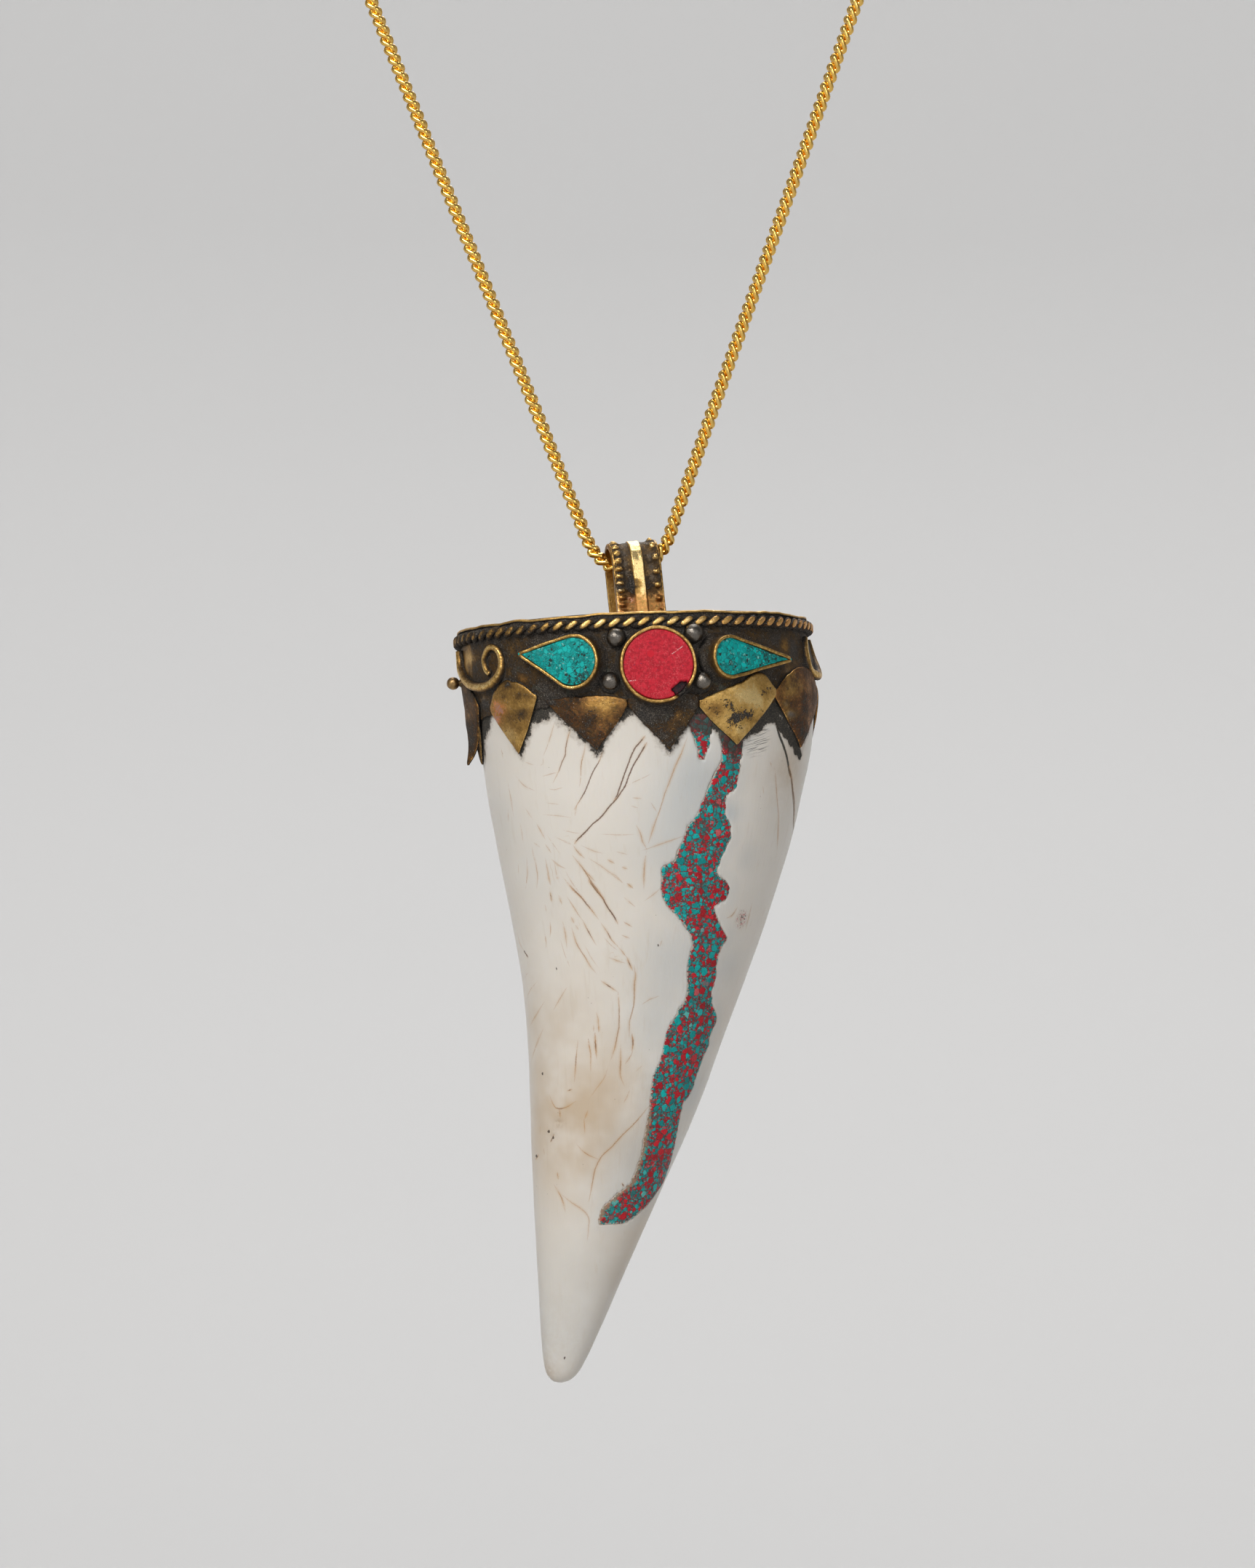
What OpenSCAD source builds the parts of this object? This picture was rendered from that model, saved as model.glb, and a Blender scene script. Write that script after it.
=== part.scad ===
// White conch shell horn in a brass cap with three stone bezels, hung on a fine gold chain.
// Millimetres, +Z up. The front faces -Y. The origin is where the loop rests on the neck.
// Angles round the pendant are 0 at its front and grow towards its right hand side.

/* [Pendant] */
// Depth of every section as a share of its width
depth_ratio = 0.855; // [0.8:0.005:0.95]
// Turn of the pendant on the chain
turn = 9; // [0:1:20]
// Lean of the cap's rim
lean = 1.45; // [0:0.05:3]
// Gap between pieces that lie against each other
seat_gap = 0.1; // [0.05:0.01:0.15]

/* [Cap] */
// Height of the top plate's upper face above the rope's middle
plate_top = 0.95; // [0.9:0.05:1.2]
// Thickness of the top plate
plate_wall = 0.3; // [0.2:0.05:0.3]
// Thickness of a petal's sheet
petal_wall = 0.35; // [0.25:0.05:0.5]
// Height at which the petals leave the collar
petal_top = -5; // [-5.5:0.1:-4.6]
// Number of bumps round the rope wire, an even number
rope_bumps = 62; // [40:2:80]
// Half height of the rope wire
rope_r = 0.58; // [0.4:0.02:0.6]
// Radius of a side scroll's wire
scroll_r = 0.34; // [0.25:0.01:0.4]

/* [Bail] */
// Width of the strip that the bail is bent from
bail_w = 4.7; // [4:0.1:5]
// Radius inside the bail's bend
bail_inner_r = 2.15; // [2.1:0.05:2.6]
// Thickness of the strip
bail_wall = 0.5; // [0.4:0.05:0.8]
// Width of the raised band down the middle of the strip
bail_band_w = 1.3; // [0.8:0.1:2]
// Height of the raised band above the strip
bail_band_h = 0.15; // [0.1:0.05:0.3]
// Height of the bend's centre above the rope's middle
bail_height = 6.5; // [5.5:0.05:8]
// Place of the bail to the right of the cap's middle
bail_x = 0.35; // [-1:0.05:1]
// Place of the bail behind the cap's middle
bail_y = -0.08; // [-0.5:0.01:0.5]
// Lean of the bail on the cap
bail_lean = 3.2; // [0:0.1:5]

/* [Stones] */
// Outer radius of the round bezel
coral_r = 3.65; // [3:0.05:4]
// Height of a bezel's rim above the collar
bezel_h = 1.25; // [1:0.05:1.8]
// Thickness of a bezel's wall
bezel_wall = 0.42; // [0.3:0.02:0.6]
// Thickness of the crushed stone
stone_h = 0.85; // [0.6:0.05:1]
// Depth of the inlay in the shell
inlay_depth = 1; // [0.6:0.1:1.4]
// Height of the inlay's face above the shell's
inlay_proud = 0.04; // [0:0.01:0.1]

/* [Chain and clasp] */
// Outer diameter of the chain
chain_d = 1.32; // [1.1:0.01:1.5]
// Diameter of the clasp
clasp_d = 2.6; // [2:0.1:4]
// Length of the clasp
clasp_len = 9; // [9:1:9]
// Rounding of the clasp's ends
clasp_round = 0.6; // [0.2:0.1:0.8]

/* [Hidden] */

// Right half of the chain, from the clasp to the middle of the bail: across, up
route = [
    [4.5, 1.3], [14.6, -0.5], [23.9, -3.8], [32.4, -8.8], [40, -15.1], [46.3, -22.6],
    [51.2, -31.2], [54.6, -40.4], [56.3, -50.1], [56.3, -60], [54.8, -68.7], [52.9, -74.8],
    [41.3, -106], [30.1, -136], [18.9, -166], [9.5, -191], [5.8, -201], [4.5, -204.5],
    [4, -205.9], [3.7, -206.5], [3.3, -207.2], [2.8, -207.8], [2.5, -208.1], [2, -208.5],
    [1, -208.9], [0, -209]];
hang_point = [0.45, 0, -209];

// Shell sections: height, shift to the right, half width
HEIGHT = 0;
SHIFT = 1;
HALF = 2;
shell_rows = [
    [0.2, 0, 15.95], [-3, 0.4, 16.2], [-8, 0.8, 16.3], [-12, 0.8, 15.8], [-16, 0.5, 15.1],
    [-20, 0.25, 14.25], [-24, -0.15, 13.2], [-28, -0.6, 12.15], [-32, -1.15, 11.1],
    [-36, -1.85, 10.1], [-40, -2.65, 9.2], [-44, -3.55, 8.4], [-48, -4.55, 7.5],
    [-52, -5.6, 6.45], [-56, -6.6, 5.45], [-60, -7.6, 4.45], [-64, -8.55, 3.45],
    [-67, -9.3, 2.65], [-69, -9.8, 2.05], [-70.3, -10.1, 1.5], [-71, -10.25, 0.8],
    [-71.2, -10.3, 0.3]];

// Collar sections: height, shift to the right, half width
collar_rows = [[0.7, 0, 16.65], [-3, 0.4, 16.85], [-6.4, 0.7, 16.95]];

// Petals: left corner, point, right corner, height of the corners, of the point, lift of the point
petal_rows = [
    [-98, -91, -68.5, -6.5, -11.8, 1.3], [-68.5, -56.8, -44.3, -6.5, -11.7, 0.15],
    [-44.3, -23.8, -13.2, -7.2, -12.3, 0.05], [-13.2, 0, 10.5, -8.1, -12.3, 0.05],
    [10.5, 24.3, 42.5, -7.4, -12, 0.1], [42.5, 59.6, 78, -7.5, -12, 0.15],
    [78, 94, 107, -7.2, -12.1, 0.05], [107, 121, 136, -7.4, -12.2, 0.1],
    [136, 150, 165, -7.3, -12.3, 0.05], [165, 181, 196, -7.5, -12.1, 0.1],
    [196, 210, 228, -7.3, -12.2, 0.05], [228, 244, 262, -7, -12.1, 0.1]];
LEFT = 0;
POINT = 1;
RIGHT = 2;
CORNER_Z = 3;
POINT_Z = 4;
LIFT = 5;

// Inlay strip: height, left edge, right edge
inlay_rows = [
    [-9, 17, 27], [-12.5, 19.5, 27.5], [-15.1, 16.5, 27], [-16.4, 14.5, 23.5], [-18.5, 11.5, 24],
    [-20.3, 7.5, 28], [-21.9, 5, 26], [-23.2, 0, 24.5], [-25.4, 0.5, 33], [-27.1, 5, 26.5],
    [-28.9, 14, 33], [-30.1, 18.5, 38.5], [-32.5, 18.5, 37], [-35.6, 22.5, 41],
    [-37.4, 18, 51.5], [-40.5, 15.5, 51.5], [-43, 13, 50.5], [-45.8, 17, 46.5],
    [-48, 19, 53], [-50.4, 22.5, 62], [-52.7, 20, 72], [-54.2, 8, 61], [-55.2, -1, 50],
    [-56.3, -1, 25]];
tongue_rows = [[-9, 6, 15.5], [-10.2, 6.8, 15.1], [-11.7, 9, 14.5], [-13, 10.8, 13.4]];
across_steps = 4;

// Side scroll on the left: angle, height, from its foot to the end of its curl
left_scroll = [
    [-92, -1], [-91, -2.3], [-86, -3.6], [-79, -4.5], [-73, -4.9], [-66, -5], [-61, -4.6],
    [-57, -3.9], [-55.6, -2.9], [-56.8, -1.5], [-60.2, -0.9], [-65.5, -1.3], [-68, -2.3],
    [-65.2, -3.4]];
curl_points = 3;
// The right scroll mirrors it and has lost its curl
right_scroll = [for (i = [0 : len(left_scroll) - 1 - curl_points])
    [-left_scroll[i][0], left_scroll[i][1]]];

// Grains soldered to the collar: angle, height, radius, how far the middle stands off
grains = [
    [-14.1, -1.65, 0.8, 0.5], [10.6, -1.5, 0.8, 0.5], [-17.7, -5.7, 0.75, 0.45],
    [11.3, -6, 0.75, 0.45], [-95, -3.9, 0.58, 0.9]];

// Share of a scroll's radius that its middle stands off, and of a grain's that its foot has
scroll_stand = 0.6;
grain_foot = 0.6;

// Bezels: angle and height of the place that they stand on
coral_place = [-2.3, -4.4];
left_place = [-34, -3.7];
right_place = [31, -3.8];
// Teardrops: radius of the round end, its place, length to the point, direction of the point
left_drop = [2.6, [1.7, 0], 5.7, 168];
right_drop = [2.1, [-3.1, 0], 7.3, -1];
drop_point_r = 0.3;
// How much farther the point is set in than the sides
drop_point_inset = 1.6;
bezel_sink = 1.2;
bezel_back = 0.3;
stone_floor = bezel_h - stone_h;

petal_root = 0.42;
rope_steps = rope_bumps * 3;
rope_flat = 0.72;
rope_stand = 0.22;
plate_overhang = 0.1;
round_steps = 48;
bail_outer_r = bail_inner_r + bail_wall;
thin = 0.01;

function column(rows, c) = [for (r = rows) [r[HEIGHT], r[c]]];
function at(rows, c, z) = lookup(z, column(rows, c));
// Point on a section at an angle and a height, stood off by a distance
function on(rows, angle, z, off) =
    let (a = at(rows, HALF, z), b = a * depth_ratio,
         n = [sin(angle) / a, -cos(angle) / b], l = norm(n))
    [at(rows, SHIFT, z) + a * sin(angle) + off * n[0] / l, -b * cos(angle) + off * n[1] / l, z];
function facing(rows, angle, z) =
    let (a = at(rows, HALF, z)) atan2(sin(angle) / a, cos(angle) / a / depth_ratio);
function ring(rows, z, off) =
    [for (k = [0 : round_steps - 1]) on(rows, 360 * k / round_steps, z, off)];
function unit(v) = v / norm(v);
// Direction of a path at each of its points
function headings(path) =
    [for (i = [0 : len(path) - 1]) unit(path[min(i + 1, len(path) - 1)] - path[max(i - 1, 0)])];

// Closed solid through rings that all have the same number of points
module loft(rings, closed = false) {
    n = len(rings[0]);
    m = len(rings);
    bands = closed ? m : m - 1;
    sides = [for (i = [0 : bands - 1], k = [0 : n - 1])
        let (j = (i + 1) % m, l = (k + 1) % n) [i * n + k, i * n + l, j * n + l, j * n + k]];
    ends = closed ? [] : [[for (k = [n - 1 : -1 : 0]) k], [for (k = [0 : n - 1]) (m - 1) * n + k]];
    polyhedron([for (r = rings) each r], concat(sides, ends));
}

// Round wire along a path, with its heading and the direction of one side at each point
module wire(path, heads, side, r, sides) {
    loft([for (i = [0 : len(path) - 1])
        let (u = unit(cross(heads[i], side[i])), v = cross(u, heads[i]))
        [for (k = [0 : sides - 1])
            path[i] + r * cos(360 * k / sides) * u + r * sin(360 * k / sides) * v]]);
}

module place_pendant() {
    translate(hang_point) rotate([0, -lean, 0]) rotate([0, 0, turn])
        translate([-bail_x, -bail_y, -bail_height]) children();
}

module on_collar(place) {
    translate(on(collar_rows, place[0], place[1], 0))
        rotate([90, 0, facing(collar_rows, place[0], place[1])]) children();
}

// Strip of inlay between its edges, one convex piece from each row to the next
module inlay_strip(rows, margin, depth, proud) {
    for (i = [0 : len(rows) - 2]) hull() for (row = [rows[i], rows[i + 1]]) {
        spread = margin / at(shell_rows, HALF, row[HEIGHT]) * 180 / PI;
        edge = [row[1] - spread, row[2] + spread];
        for (k = [0 : across_steps], off = [-depth, proud])
            translate(on(shell_rows, edge[0] + (edge[1] - edge[0]) * k / across_steps,
                         row[HEIGHT], off)) cube(thin, center = true);
    }
}

module shell() color("ivory") place_pendant() difference() {
    loft([for (row = shell_rows) ring(shell_rows, row[HEIGHT], 0)]);
    inlay_strip(inlay_rows, seat_gap, inlay_depth + seat_gap, 1);
    inlay_strip(tongue_rows, seat_gap, inlay_depth + seat_gap, 1);
}

module inlay() color("teal") place_pendant()
    inlay_strip(inlay_rows, 0, inlay_depth, inlay_proud);

module inlay_tongue() color("teal") place_pendant()
    inlay_strip(tongue_rows, 0, inlay_depth, inlay_proud);

module collar() {
    bottom = collar_rows[len(collar_rows) - 1][HEIGHT];
    difference() {
        loft([for (row = collar_rows) ring(collar_rows, row[HEIGHT], 0)]);
        loft([for (z = [0.71, -3, bottom - 0.1]) ring(shell_rows, z, seat_gap)]);
    }
    translate([at(collar_rows, SHIFT, 0), 0, plate_top - plate_wall])
        linear_extrude(plate_wall) scale([1, depth_ratio])
            circle(at(collar_rows, HALF, 0) + plate_overhang, $fn = 72);
}

// Height of the petals' lower edge at an angle inside one petal
function petal_share(p, t) =
    t < p[POINT] ? (t - p[LEFT]) / (p[POINT] - p[LEFT]) : (p[RIGHT] - t) / (p[RIGHT] - p[POINT]);
function petal_section(p, t) =
    let (s = petal_share(p, t), z = p[CORNER_Z] + s * (p[POINT_Z] - p[CORNER_Z]),
         lift = seat_gap + s * s * p[LIFT])
    [on(shell_rows, t, petal_top, petal_root), on(shell_rows, t, z, lift),
     on(shell_rows, t, z, lift + petal_wall), on(shell_rows, t, petal_top, petal_root + petal_wall)];
function petal_angles(p) =
    [for (s = [0, 0.35, 0.7]) p[LEFT] + s * (p[POINT] - p[LEFT]),
     for (s = [0, 0.3, 0.65]) p[POINT] + s * (p[RIGHT] - p[POINT])];

module petals()
    loft([for (p = petal_rows, t = petal_angles(p)) petal_section(p, t)], closed = true);

// Two strands twisted together, as one twisted oval section
module rope()
    loft([for (i = [0 : rope_steps - 1])
        let (t = 360 * i / rope_steps, twist = 180 * rope_bumps * i / rope_steps,
             c = on(collar_rows, t, 0, rope_stand),
             out = unit(on(collar_rows, t, 0, 1) - on(collar_rows, t, 0, 0)))
        [for (k = [0 : 5])
            let (u = rope_r * cos(60 * k), v = rope_r * rope_flat * sin(60 * k))
            c + out * (u * cos(twist) - v * sin(twist)) + [0, 0, u * sin(twist) + v * cos(twist)]]],
        closed = true);

module bail_loop(outer, width) {
    rotate([90, 0, 90]) linear_extrude(width, center = true) hull() {
        circle(outer, $fn = 48);
        translate([-outer, plate_top - thin - bail_height]) square([2 * outer, 1]);
    }
}

module bail()
    translate([bail_x, bail_y, bail_height]) rotate([0, -bail_lean, 0]) difference() {
        union() {
            bail_loop(bail_outer_r, bail_w);
            bail_loop(bail_outer_r + bail_band_h, bail_band_w);
        }
        bail_loop(bail_inner_r, bail_w + 1);
    }

module drop_outline(drop, inset) {
    translate(drop[1]) rotate(drop[3]) hull() {
        circle(drop[0] - inset, $fn = 40);
        translate([drop[2] - drop_point_r - inset * drop_point_inset, 0])
            circle(drop_point_r, $fn = 12);
    }
}
module round_outline(inset) circle(coral_r - inset, $fn = 48);

module bezel(floor_h) {
    difference() {
        translate([0, 0, -bezel_sink]) linear_extrude(bezel_sink + bezel_h) children(0);
        translate([0, 0, floor_h]) linear_extrude(bezel_h) children(1);
    }
}
module stone()
    translate([0, 0, stone_floor]) linear_extrude(stone_h) children();

module bezels() {
    cup_floor = stone_floor - seat_gap;
    difference() {
        union() {
            on_collar(coral_place) bezel(cup_floor) {
                round_outline(0);
                round_outline(bezel_wall);
            }
            on_collar(left_place) bezel(cup_floor) {
                drop_outline(left_drop, 0);
                drop_outline(left_drop, bezel_wall);
            }
            on_collar(right_place) bezel(cup_floor) {
                drop_outline(right_drop, 0);
                drop_outline(right_drop, bezel_wall);
            }
        }
        loft([for (z = [1, -3, -8, -12]) ring(shell_rows, z, bezel_back)]);
    }
}

module scroll(places) {
    path = [for (p = places) on(collar_rows, p[0], p[1], scroll_r * scroll_stand)];
    out = [for (p = places) on(collar_rows, p[0], p[1], 1) - on(collar_rows, p[0], p[1], 0)];
    wire(path, headings(path), out, scroll_r, 6);
}

// Round grain with a foot of solder under it
module grain(g) hull() {
    translate(on(collar_rows, g[0], g[1], g[3])) sphere(g[2], $fn = 12);
    translate(on(collar_rows, g[0], g[1], 0)) sphere(g[2] * grain_foot, $fn = 8);
}

module cap() color("darkgoldenrod") place_pendant() {
    collar();
    petals();
    rope();
    bail();
    bezels();
    scroll(left_scroll);
    scroll(right_scroll);
    for (g = grains) grain(g);
}

module coral_centre() color("crimson") place_pendant() on_collar(coral_place) stone()
    round_outline(bezel_wall + seat_gap);

module turquoise_left() color("darkcyan") place_pendant() on_collar(left_place) stone()
    drop_outline(left_drop, bezel_wall + seat_gap);

module turquoise_right() color("darkcyan") place_pendant() on_collar(right_place) stone()
    drop_outline(right_drop, bezel_wall + seat_gap);

module half_chain(side) color("goldenrod") {
    path = [for (p = route) [side * p[0], 0, p[1]]];
    inner = headings(path);
    last = len(path) - 1;
    // Square ends, so that the halves meet face to face
    heads = [for (i = [0 : last]) i == 0 ? [side, 0, 0] : i == last ? [-side, 0, 0] : inner[i]];
    wire(path, heads, [for (p = path) [0, 1, 0]], chain_d / 2, 8);
}
module chain_left() half_chain(-1);
module chain_right() half_chain(1);

module clasp() color("gold") translate([0, 0, clasp_d / 2]) rotate([0, 90, 0])
    rotate_extrude($fn = 48) difference() {
        translate([0, -clasp_len / 2]) square([clasp_d / 2, clasp_len]);
        for (end = [-1, 1]) translate([clasp_d / 2, end * clasp_len / 2])
            rotate(45) square(clasp_round * sqrt(2), center = true);
    }

shell();
cap();
coral_centre();
turquoise_left();
turquoise_right();
inlay();
inlay_tongue();
chain_left();
chain_right();
clasp();
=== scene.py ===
# White conch shell horn in a worn brass cap with coral and turquoise, hung on a fine gold chain.
# Places on the pendant are in millimetres in its own frame: the rope's middle is at height 0,
# angles round it are 0 at its front and grow towards its right. to_row() puts them in the row frame.
import math
import random
import bpy
import numpy as np
from mathutils import Matrix, Vector, noise


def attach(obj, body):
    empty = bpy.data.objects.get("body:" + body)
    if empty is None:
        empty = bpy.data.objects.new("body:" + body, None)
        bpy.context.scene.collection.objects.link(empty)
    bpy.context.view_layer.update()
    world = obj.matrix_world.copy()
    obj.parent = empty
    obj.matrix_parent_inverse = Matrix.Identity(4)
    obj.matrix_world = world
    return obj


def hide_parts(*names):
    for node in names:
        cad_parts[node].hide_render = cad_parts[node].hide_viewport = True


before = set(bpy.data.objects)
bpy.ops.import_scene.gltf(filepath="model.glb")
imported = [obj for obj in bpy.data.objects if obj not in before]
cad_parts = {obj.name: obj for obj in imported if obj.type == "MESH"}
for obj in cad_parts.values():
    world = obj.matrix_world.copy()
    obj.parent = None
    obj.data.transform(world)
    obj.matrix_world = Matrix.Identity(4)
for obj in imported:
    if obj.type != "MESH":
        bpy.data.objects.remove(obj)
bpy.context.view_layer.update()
MM = 0.001
SEED = 7

# Size and place of the pendant, as the solids have them
DEPTH_RATIO = 0.855
TURN = 9
LEAN = 1.45
HANG_POINT = (0.45, 0, -209)
BAIL_PLACE = (0.35, -0.08, 6.5)
BAIL_LEAN = 3.2
# Sections of the horn and of the collar: height, shift to the right, half width
SHELL_ROWS = [
    (0.2, 0, 15.95), (-3, 0.4, 16.2), (-8, 0.8, 16.3), (-12, 0.8, 15.8), (-16, 0.5, 15.1),
    (-20, 0.25, 14.25), (-24, -0.15, 13.2), (-28, -0.6, 12.15), (-32, -1.15, 11.1),
    (-36, -1.85, 10.1), (-40, -2.65, 9.2), (-44, -3.55, 8.4), (-48, -4.55, 7.5),
    (-52, -5.6, 6.45), (-56, -6.6, 5.45), (-60, -7.6, 4.45), (-64, -8.55, 3.45),
    (-67, -9.3, 2.65), (-69, -9.8, 2.05), (-70.3, -10.1, 1.5), (-71, -10.25, 0.8),
    (-71.2, -10.3, 0.05)]
COLLAR_ROWS = [(0.9, 0, 16.65), (-3, 0.4, 16.85), (-6.4, 0.7, 16.95), (-8, 0.75, 16.95)]


def rotation(axis, degrees):
    return np.array(Matrix.Rotation(math.radians(degrees), 3, axis))


PENDANT_TURN = rotation("Y", -LEAN) @ rotation("Z", TURN)


def to_row(points):
    """Points of the pendant, in millimetres, as metres in the row frame."""
    return ((points - np.array(BAIL_PLACE)) @ PENDANT_TURN.T + HANG_POINT) * MM


# Camera, floor and light

PHOTO_WIDTH, PHOTO_HEIGHT = 1725, 2156
MM_PER_PIXEL = 0.07
CAMERA_TARGET = np.array((-0.54, 0, -229.8))
CAMERA_DISTANCE = 550
CAMERA_RISE = math.radians(4.7)
CAMERA_ROLL = math.radians(1.25)
SENSOR = 36

look = np.array((0, math.cos(CAMERA_RISE), math.sin(CAMERA_RISE)))
flat_up = np.array((0, -look[2], look[1]))
flat_right = np.array((1.0, 0, 0))
camera_right = flat_right * math.cos(CAMERA_ROLL) - flat_up * math.sin(CAMERA_ROLL)
camera_up = flat_right * math.sin(CAMERA_ROLL) + flat_up * math.cos(CAMERA_ROLL)
camera_place = CAMERA_TARGET - CAMERA_DISTANCE * look

FLOOR_Z = -0.36
SWEEP_RADIUS = 2.3
SWEEP_TOP = 2.0
SWEEP_CURVE = 1.5
SWEEP_SIDES = 96
PAPER = (0.56, 0.555, 0.55, 1)
SKY = (0.75, 0.78, 0.82, 1)
SKY_STRENGTH = 0.2
MIDDLE = (0, 0, -0.22)
# Name, place, target, size, watts and colour
LIGHTS = [
    ("key_light", (-0.55, -1.1, 0.5), MIDDLE, 0.5, 12, (1, 0.98, 0.95)),
    ("fill_light", (0.5, -1.2, 0.0), MIDDLE, 0.7, 3.4, (0.95, 0.97, 1)),
    ("top_light", (0.15, 0.3, 0.9), MIDDLE, 0.5, 3, (1, 1, 1)),
    ("back_light", (0.1, 1.3, 0.9), MIDDLE, 0.7, 5, (1, 1, 1)),
    ("wall_light", (0, 0.6, 1.5), (0, 2.3, 0.6), 1.2, 25, (1, 1, 1))]


def link(name, data):
    """A new object in the scene."""
    thing = bpy.data.objects.new(name, data)
    bpy.context.scene.collection.objects.link(thing)
    return thing


def add_camera():
    data = bpy.data.cameras.new("photo_camera")
    camera = link("photo_camera", data)
    turn = Matrix((camera_right, camera_up, -look)).transposed().to_4x4()
    camera.matrix_world = Matrix.Translation(Vector(camera_place * MM)) @ turn
    data.sensor_fit = "VERTICAL"
    data.sensor_height = data.sensor_width = SENSOR
    data.lens = SENSOR * CAMERA_DISTANCE / (PHOTO_HEIGHT * MM_PER_PIXEL)
    data.clip_start = 0.01
    data.clip_end = 20
    bpy.context.scene.camera = camera


def add_stage():
    """A pale round floor whose edge curves up into a wall, and soft lights."""
    bend = np.linspace(0, math.pi / 2, 13)
    r = np.hstack([0.01, 0.4, SWEEP_RADIUS - SWEEP_CURVE * (1 - np.sin(bend)), SWEEP_RADIUS])[:, None]
    z = np.hstack([FLOOR_Z, FLOOR_Z, FLOOR_Z + SWEEP_CURVE * (1 - np.cos(bend)), SWEEP_TOP])[:, None]
    a = full_turn(SWEEP_SIDES)
    points = beside(r * np.cos(a), r * np.sin(a), z)
    faces = grid_faces(len(points), SWEEP_SIDES) + [list(range(SWEEP_SIDES))[::-1]]
    mesh = bpy.data.meshes.new("studio_sweep")
    mesh.from_pydata(points.reshape(-1, 3).tolist(), [], faces)
    mesh.polygons.foreach_set("use_smooth", [True] * len(faces))
    paper = Paint("pale_paper", Base_Color=PAPER, Roughness=0.9, Specular_IOR_Level=0.1)
    mesh.materials.append(paper.material)
    link("studio_sweep", mesh)

    world = bpy.data.worlds.new("studio")
    bpy.context.scene.world = world
    world.use_nodes = True
    sky = world.node_tree.nodes["Background"]
    sky.inputs["Color"].default_value = SKY
    sky.inputs["Strength"].default_value = SKY_STRENGTH
    for name, place, target, size, watts, colour in LIGHTS:
        data = bpy.data.lights.new(name, "AREA")
        data.shape = "DISK"
        data.size = size
        data.energy = watts
        data.color = colour
        light = link(name, data)
        light.location = place
        light.rotation_mode = "QUATERNION"
        light.rotation_quaternion = (Vector(target) - Vector(place)).to_track_quat("-Z", "Y")
    bpy.context.scene.view_settings.view_transform = "Standard"


# Shapes

def unit(vectors):
    """The same vectors with length 1."""
    return vectors / np.linalg.norm(vectors, axis=-1, keepdims=True)


def beside(*parts):
    """Numbers and arrays side by side on a last axis."""
    return np.stack(np.broadcast_arrays(*parts), axis=-1)


def bell(x):
    """1 at 0, falling smoothly to 0 on both sides."""
    return np.exp(-x ** 2)


def full_turn(count):
    """Even angles round a full turn, in radians."""
    return np.arange(count) * 2 * math.pi / count


def lengths(path):
    """How far along a path each of its points is."""
    return np.hstack([0, np.cumsum(np.linalg.norm(np.diff(path, axis=0), axis=1))])


def even(path, step):
    """The same path with its points a step apart."""
    along = lengths(path)
    at = np.linspace(0, along[-1], max(2, int(round(along[-1] / step)) + 1))
    return np.stack([np.interp(at, along, column) for column in path.T], axis=1)


def spline(points, steps):
    """Centripetal Catmull-Rom curve through points, with steps points from each to the next."""
    p = np.asarray(points, float)
    p = np.vstack([2 * p[0] - p[1], p, 2 * p[-1] - p[-2]])
    out = []
    for i in range(1, len(p) - 2):
        four = p[i - 1:i + 3]
        gaps = np.linalg.norm(np.diff(four, axis=0), axis=1)
        knots = np.hstack([0, np.cumsum(np.maximum(gaps, 1e-9) ** 0.5)])

        def blend(a, b, start, end):
            return (a * (knots[end] - t) + b * (t - knots[start])) / (knots[end] - knots[start])

        for t in np.linspace(knots[1], knots[2], steps, endpoint=False):
            three = [blend(four[k], four[k + 1], k, k + 1) for k in range(3)]
            two = [blend(three[k], three[k + 1], k, k + 2) for k in range(2)]
            out.append(blend(*two, 1, 2))
    out.append(p[-2])
    return np.array(out)


SHELL_CURVE = spline(SHELL_ROWS, 12)
COLLAR_CURVE = np.array(COLLAR_ROWS, float)


def section(curve, z):
    """Shift to the right and half width of a surface at heights."""
    return [np.interp(-z, -curve[:, 0], curve[:, k]) for k in (1, 2)]


def on(curve, angle, z, off=0.0):
    """Points on a surface at angles in degrees and heights, stood off by a distance."""
    angle, z, off = np.broadcast_arrays(np.radians(angle), np.asarray(z, float), off)
    shift, a = section(curve, z)
    b = a * DEPTH_RATIO
    nx, ny = np.sin(angle) / a, -np.cos(angle) / b
    off = off / np.hypot(nx, ny)
    return beside(shift + a * np.sin(angle) + off * nx, -b * np.cos(angle) + off * ny, z)


def from_collar(place, points):
    """Points given as right, up and outward of a place on the collar: its angle and height."""
    angle = math.radians(place[0])
    facing = math.atan2(math.sin(angle), math.cos(angle) / DEPTH_RATIO)
    right = (math.cos(facing), math.sin(facing), 0)
    out = (math.sin(facing), -math.cos(facing), 0)
    return on(COLLAR_CURVE, *place) + points @ np.array((right, (0, 0, 1), out))


def wobble(points, *waves):
    """Smooth noise at points, the sum of waves that each have a size, a strength and a seed."""
    total = 0
    for size, strength, seed in waves:
        shift = Vector((seed, -seed, seed * 2))
        total = total + strength * np.array([noise.noise(Vector(p) / size + shift)
                                             for p in points.reshape(-1, 3)])
    return total.reshape(points.shape[:-1])


def squared(side, heads):
    """Directions square to the headings of a path: one that leans to a side, and the third."""
    heads = unit(heads)
    lean = unit(side - np.sum(side * heads, axis=1, keepdims=True) * heads)
    return lean, np.cross(heads, lean)


def ring_heads(path):
    """Headings of a closed path at its points."""
    return np.roll(path, -1, axis=0) - np.roll(path, 1, axis=0)


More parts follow.
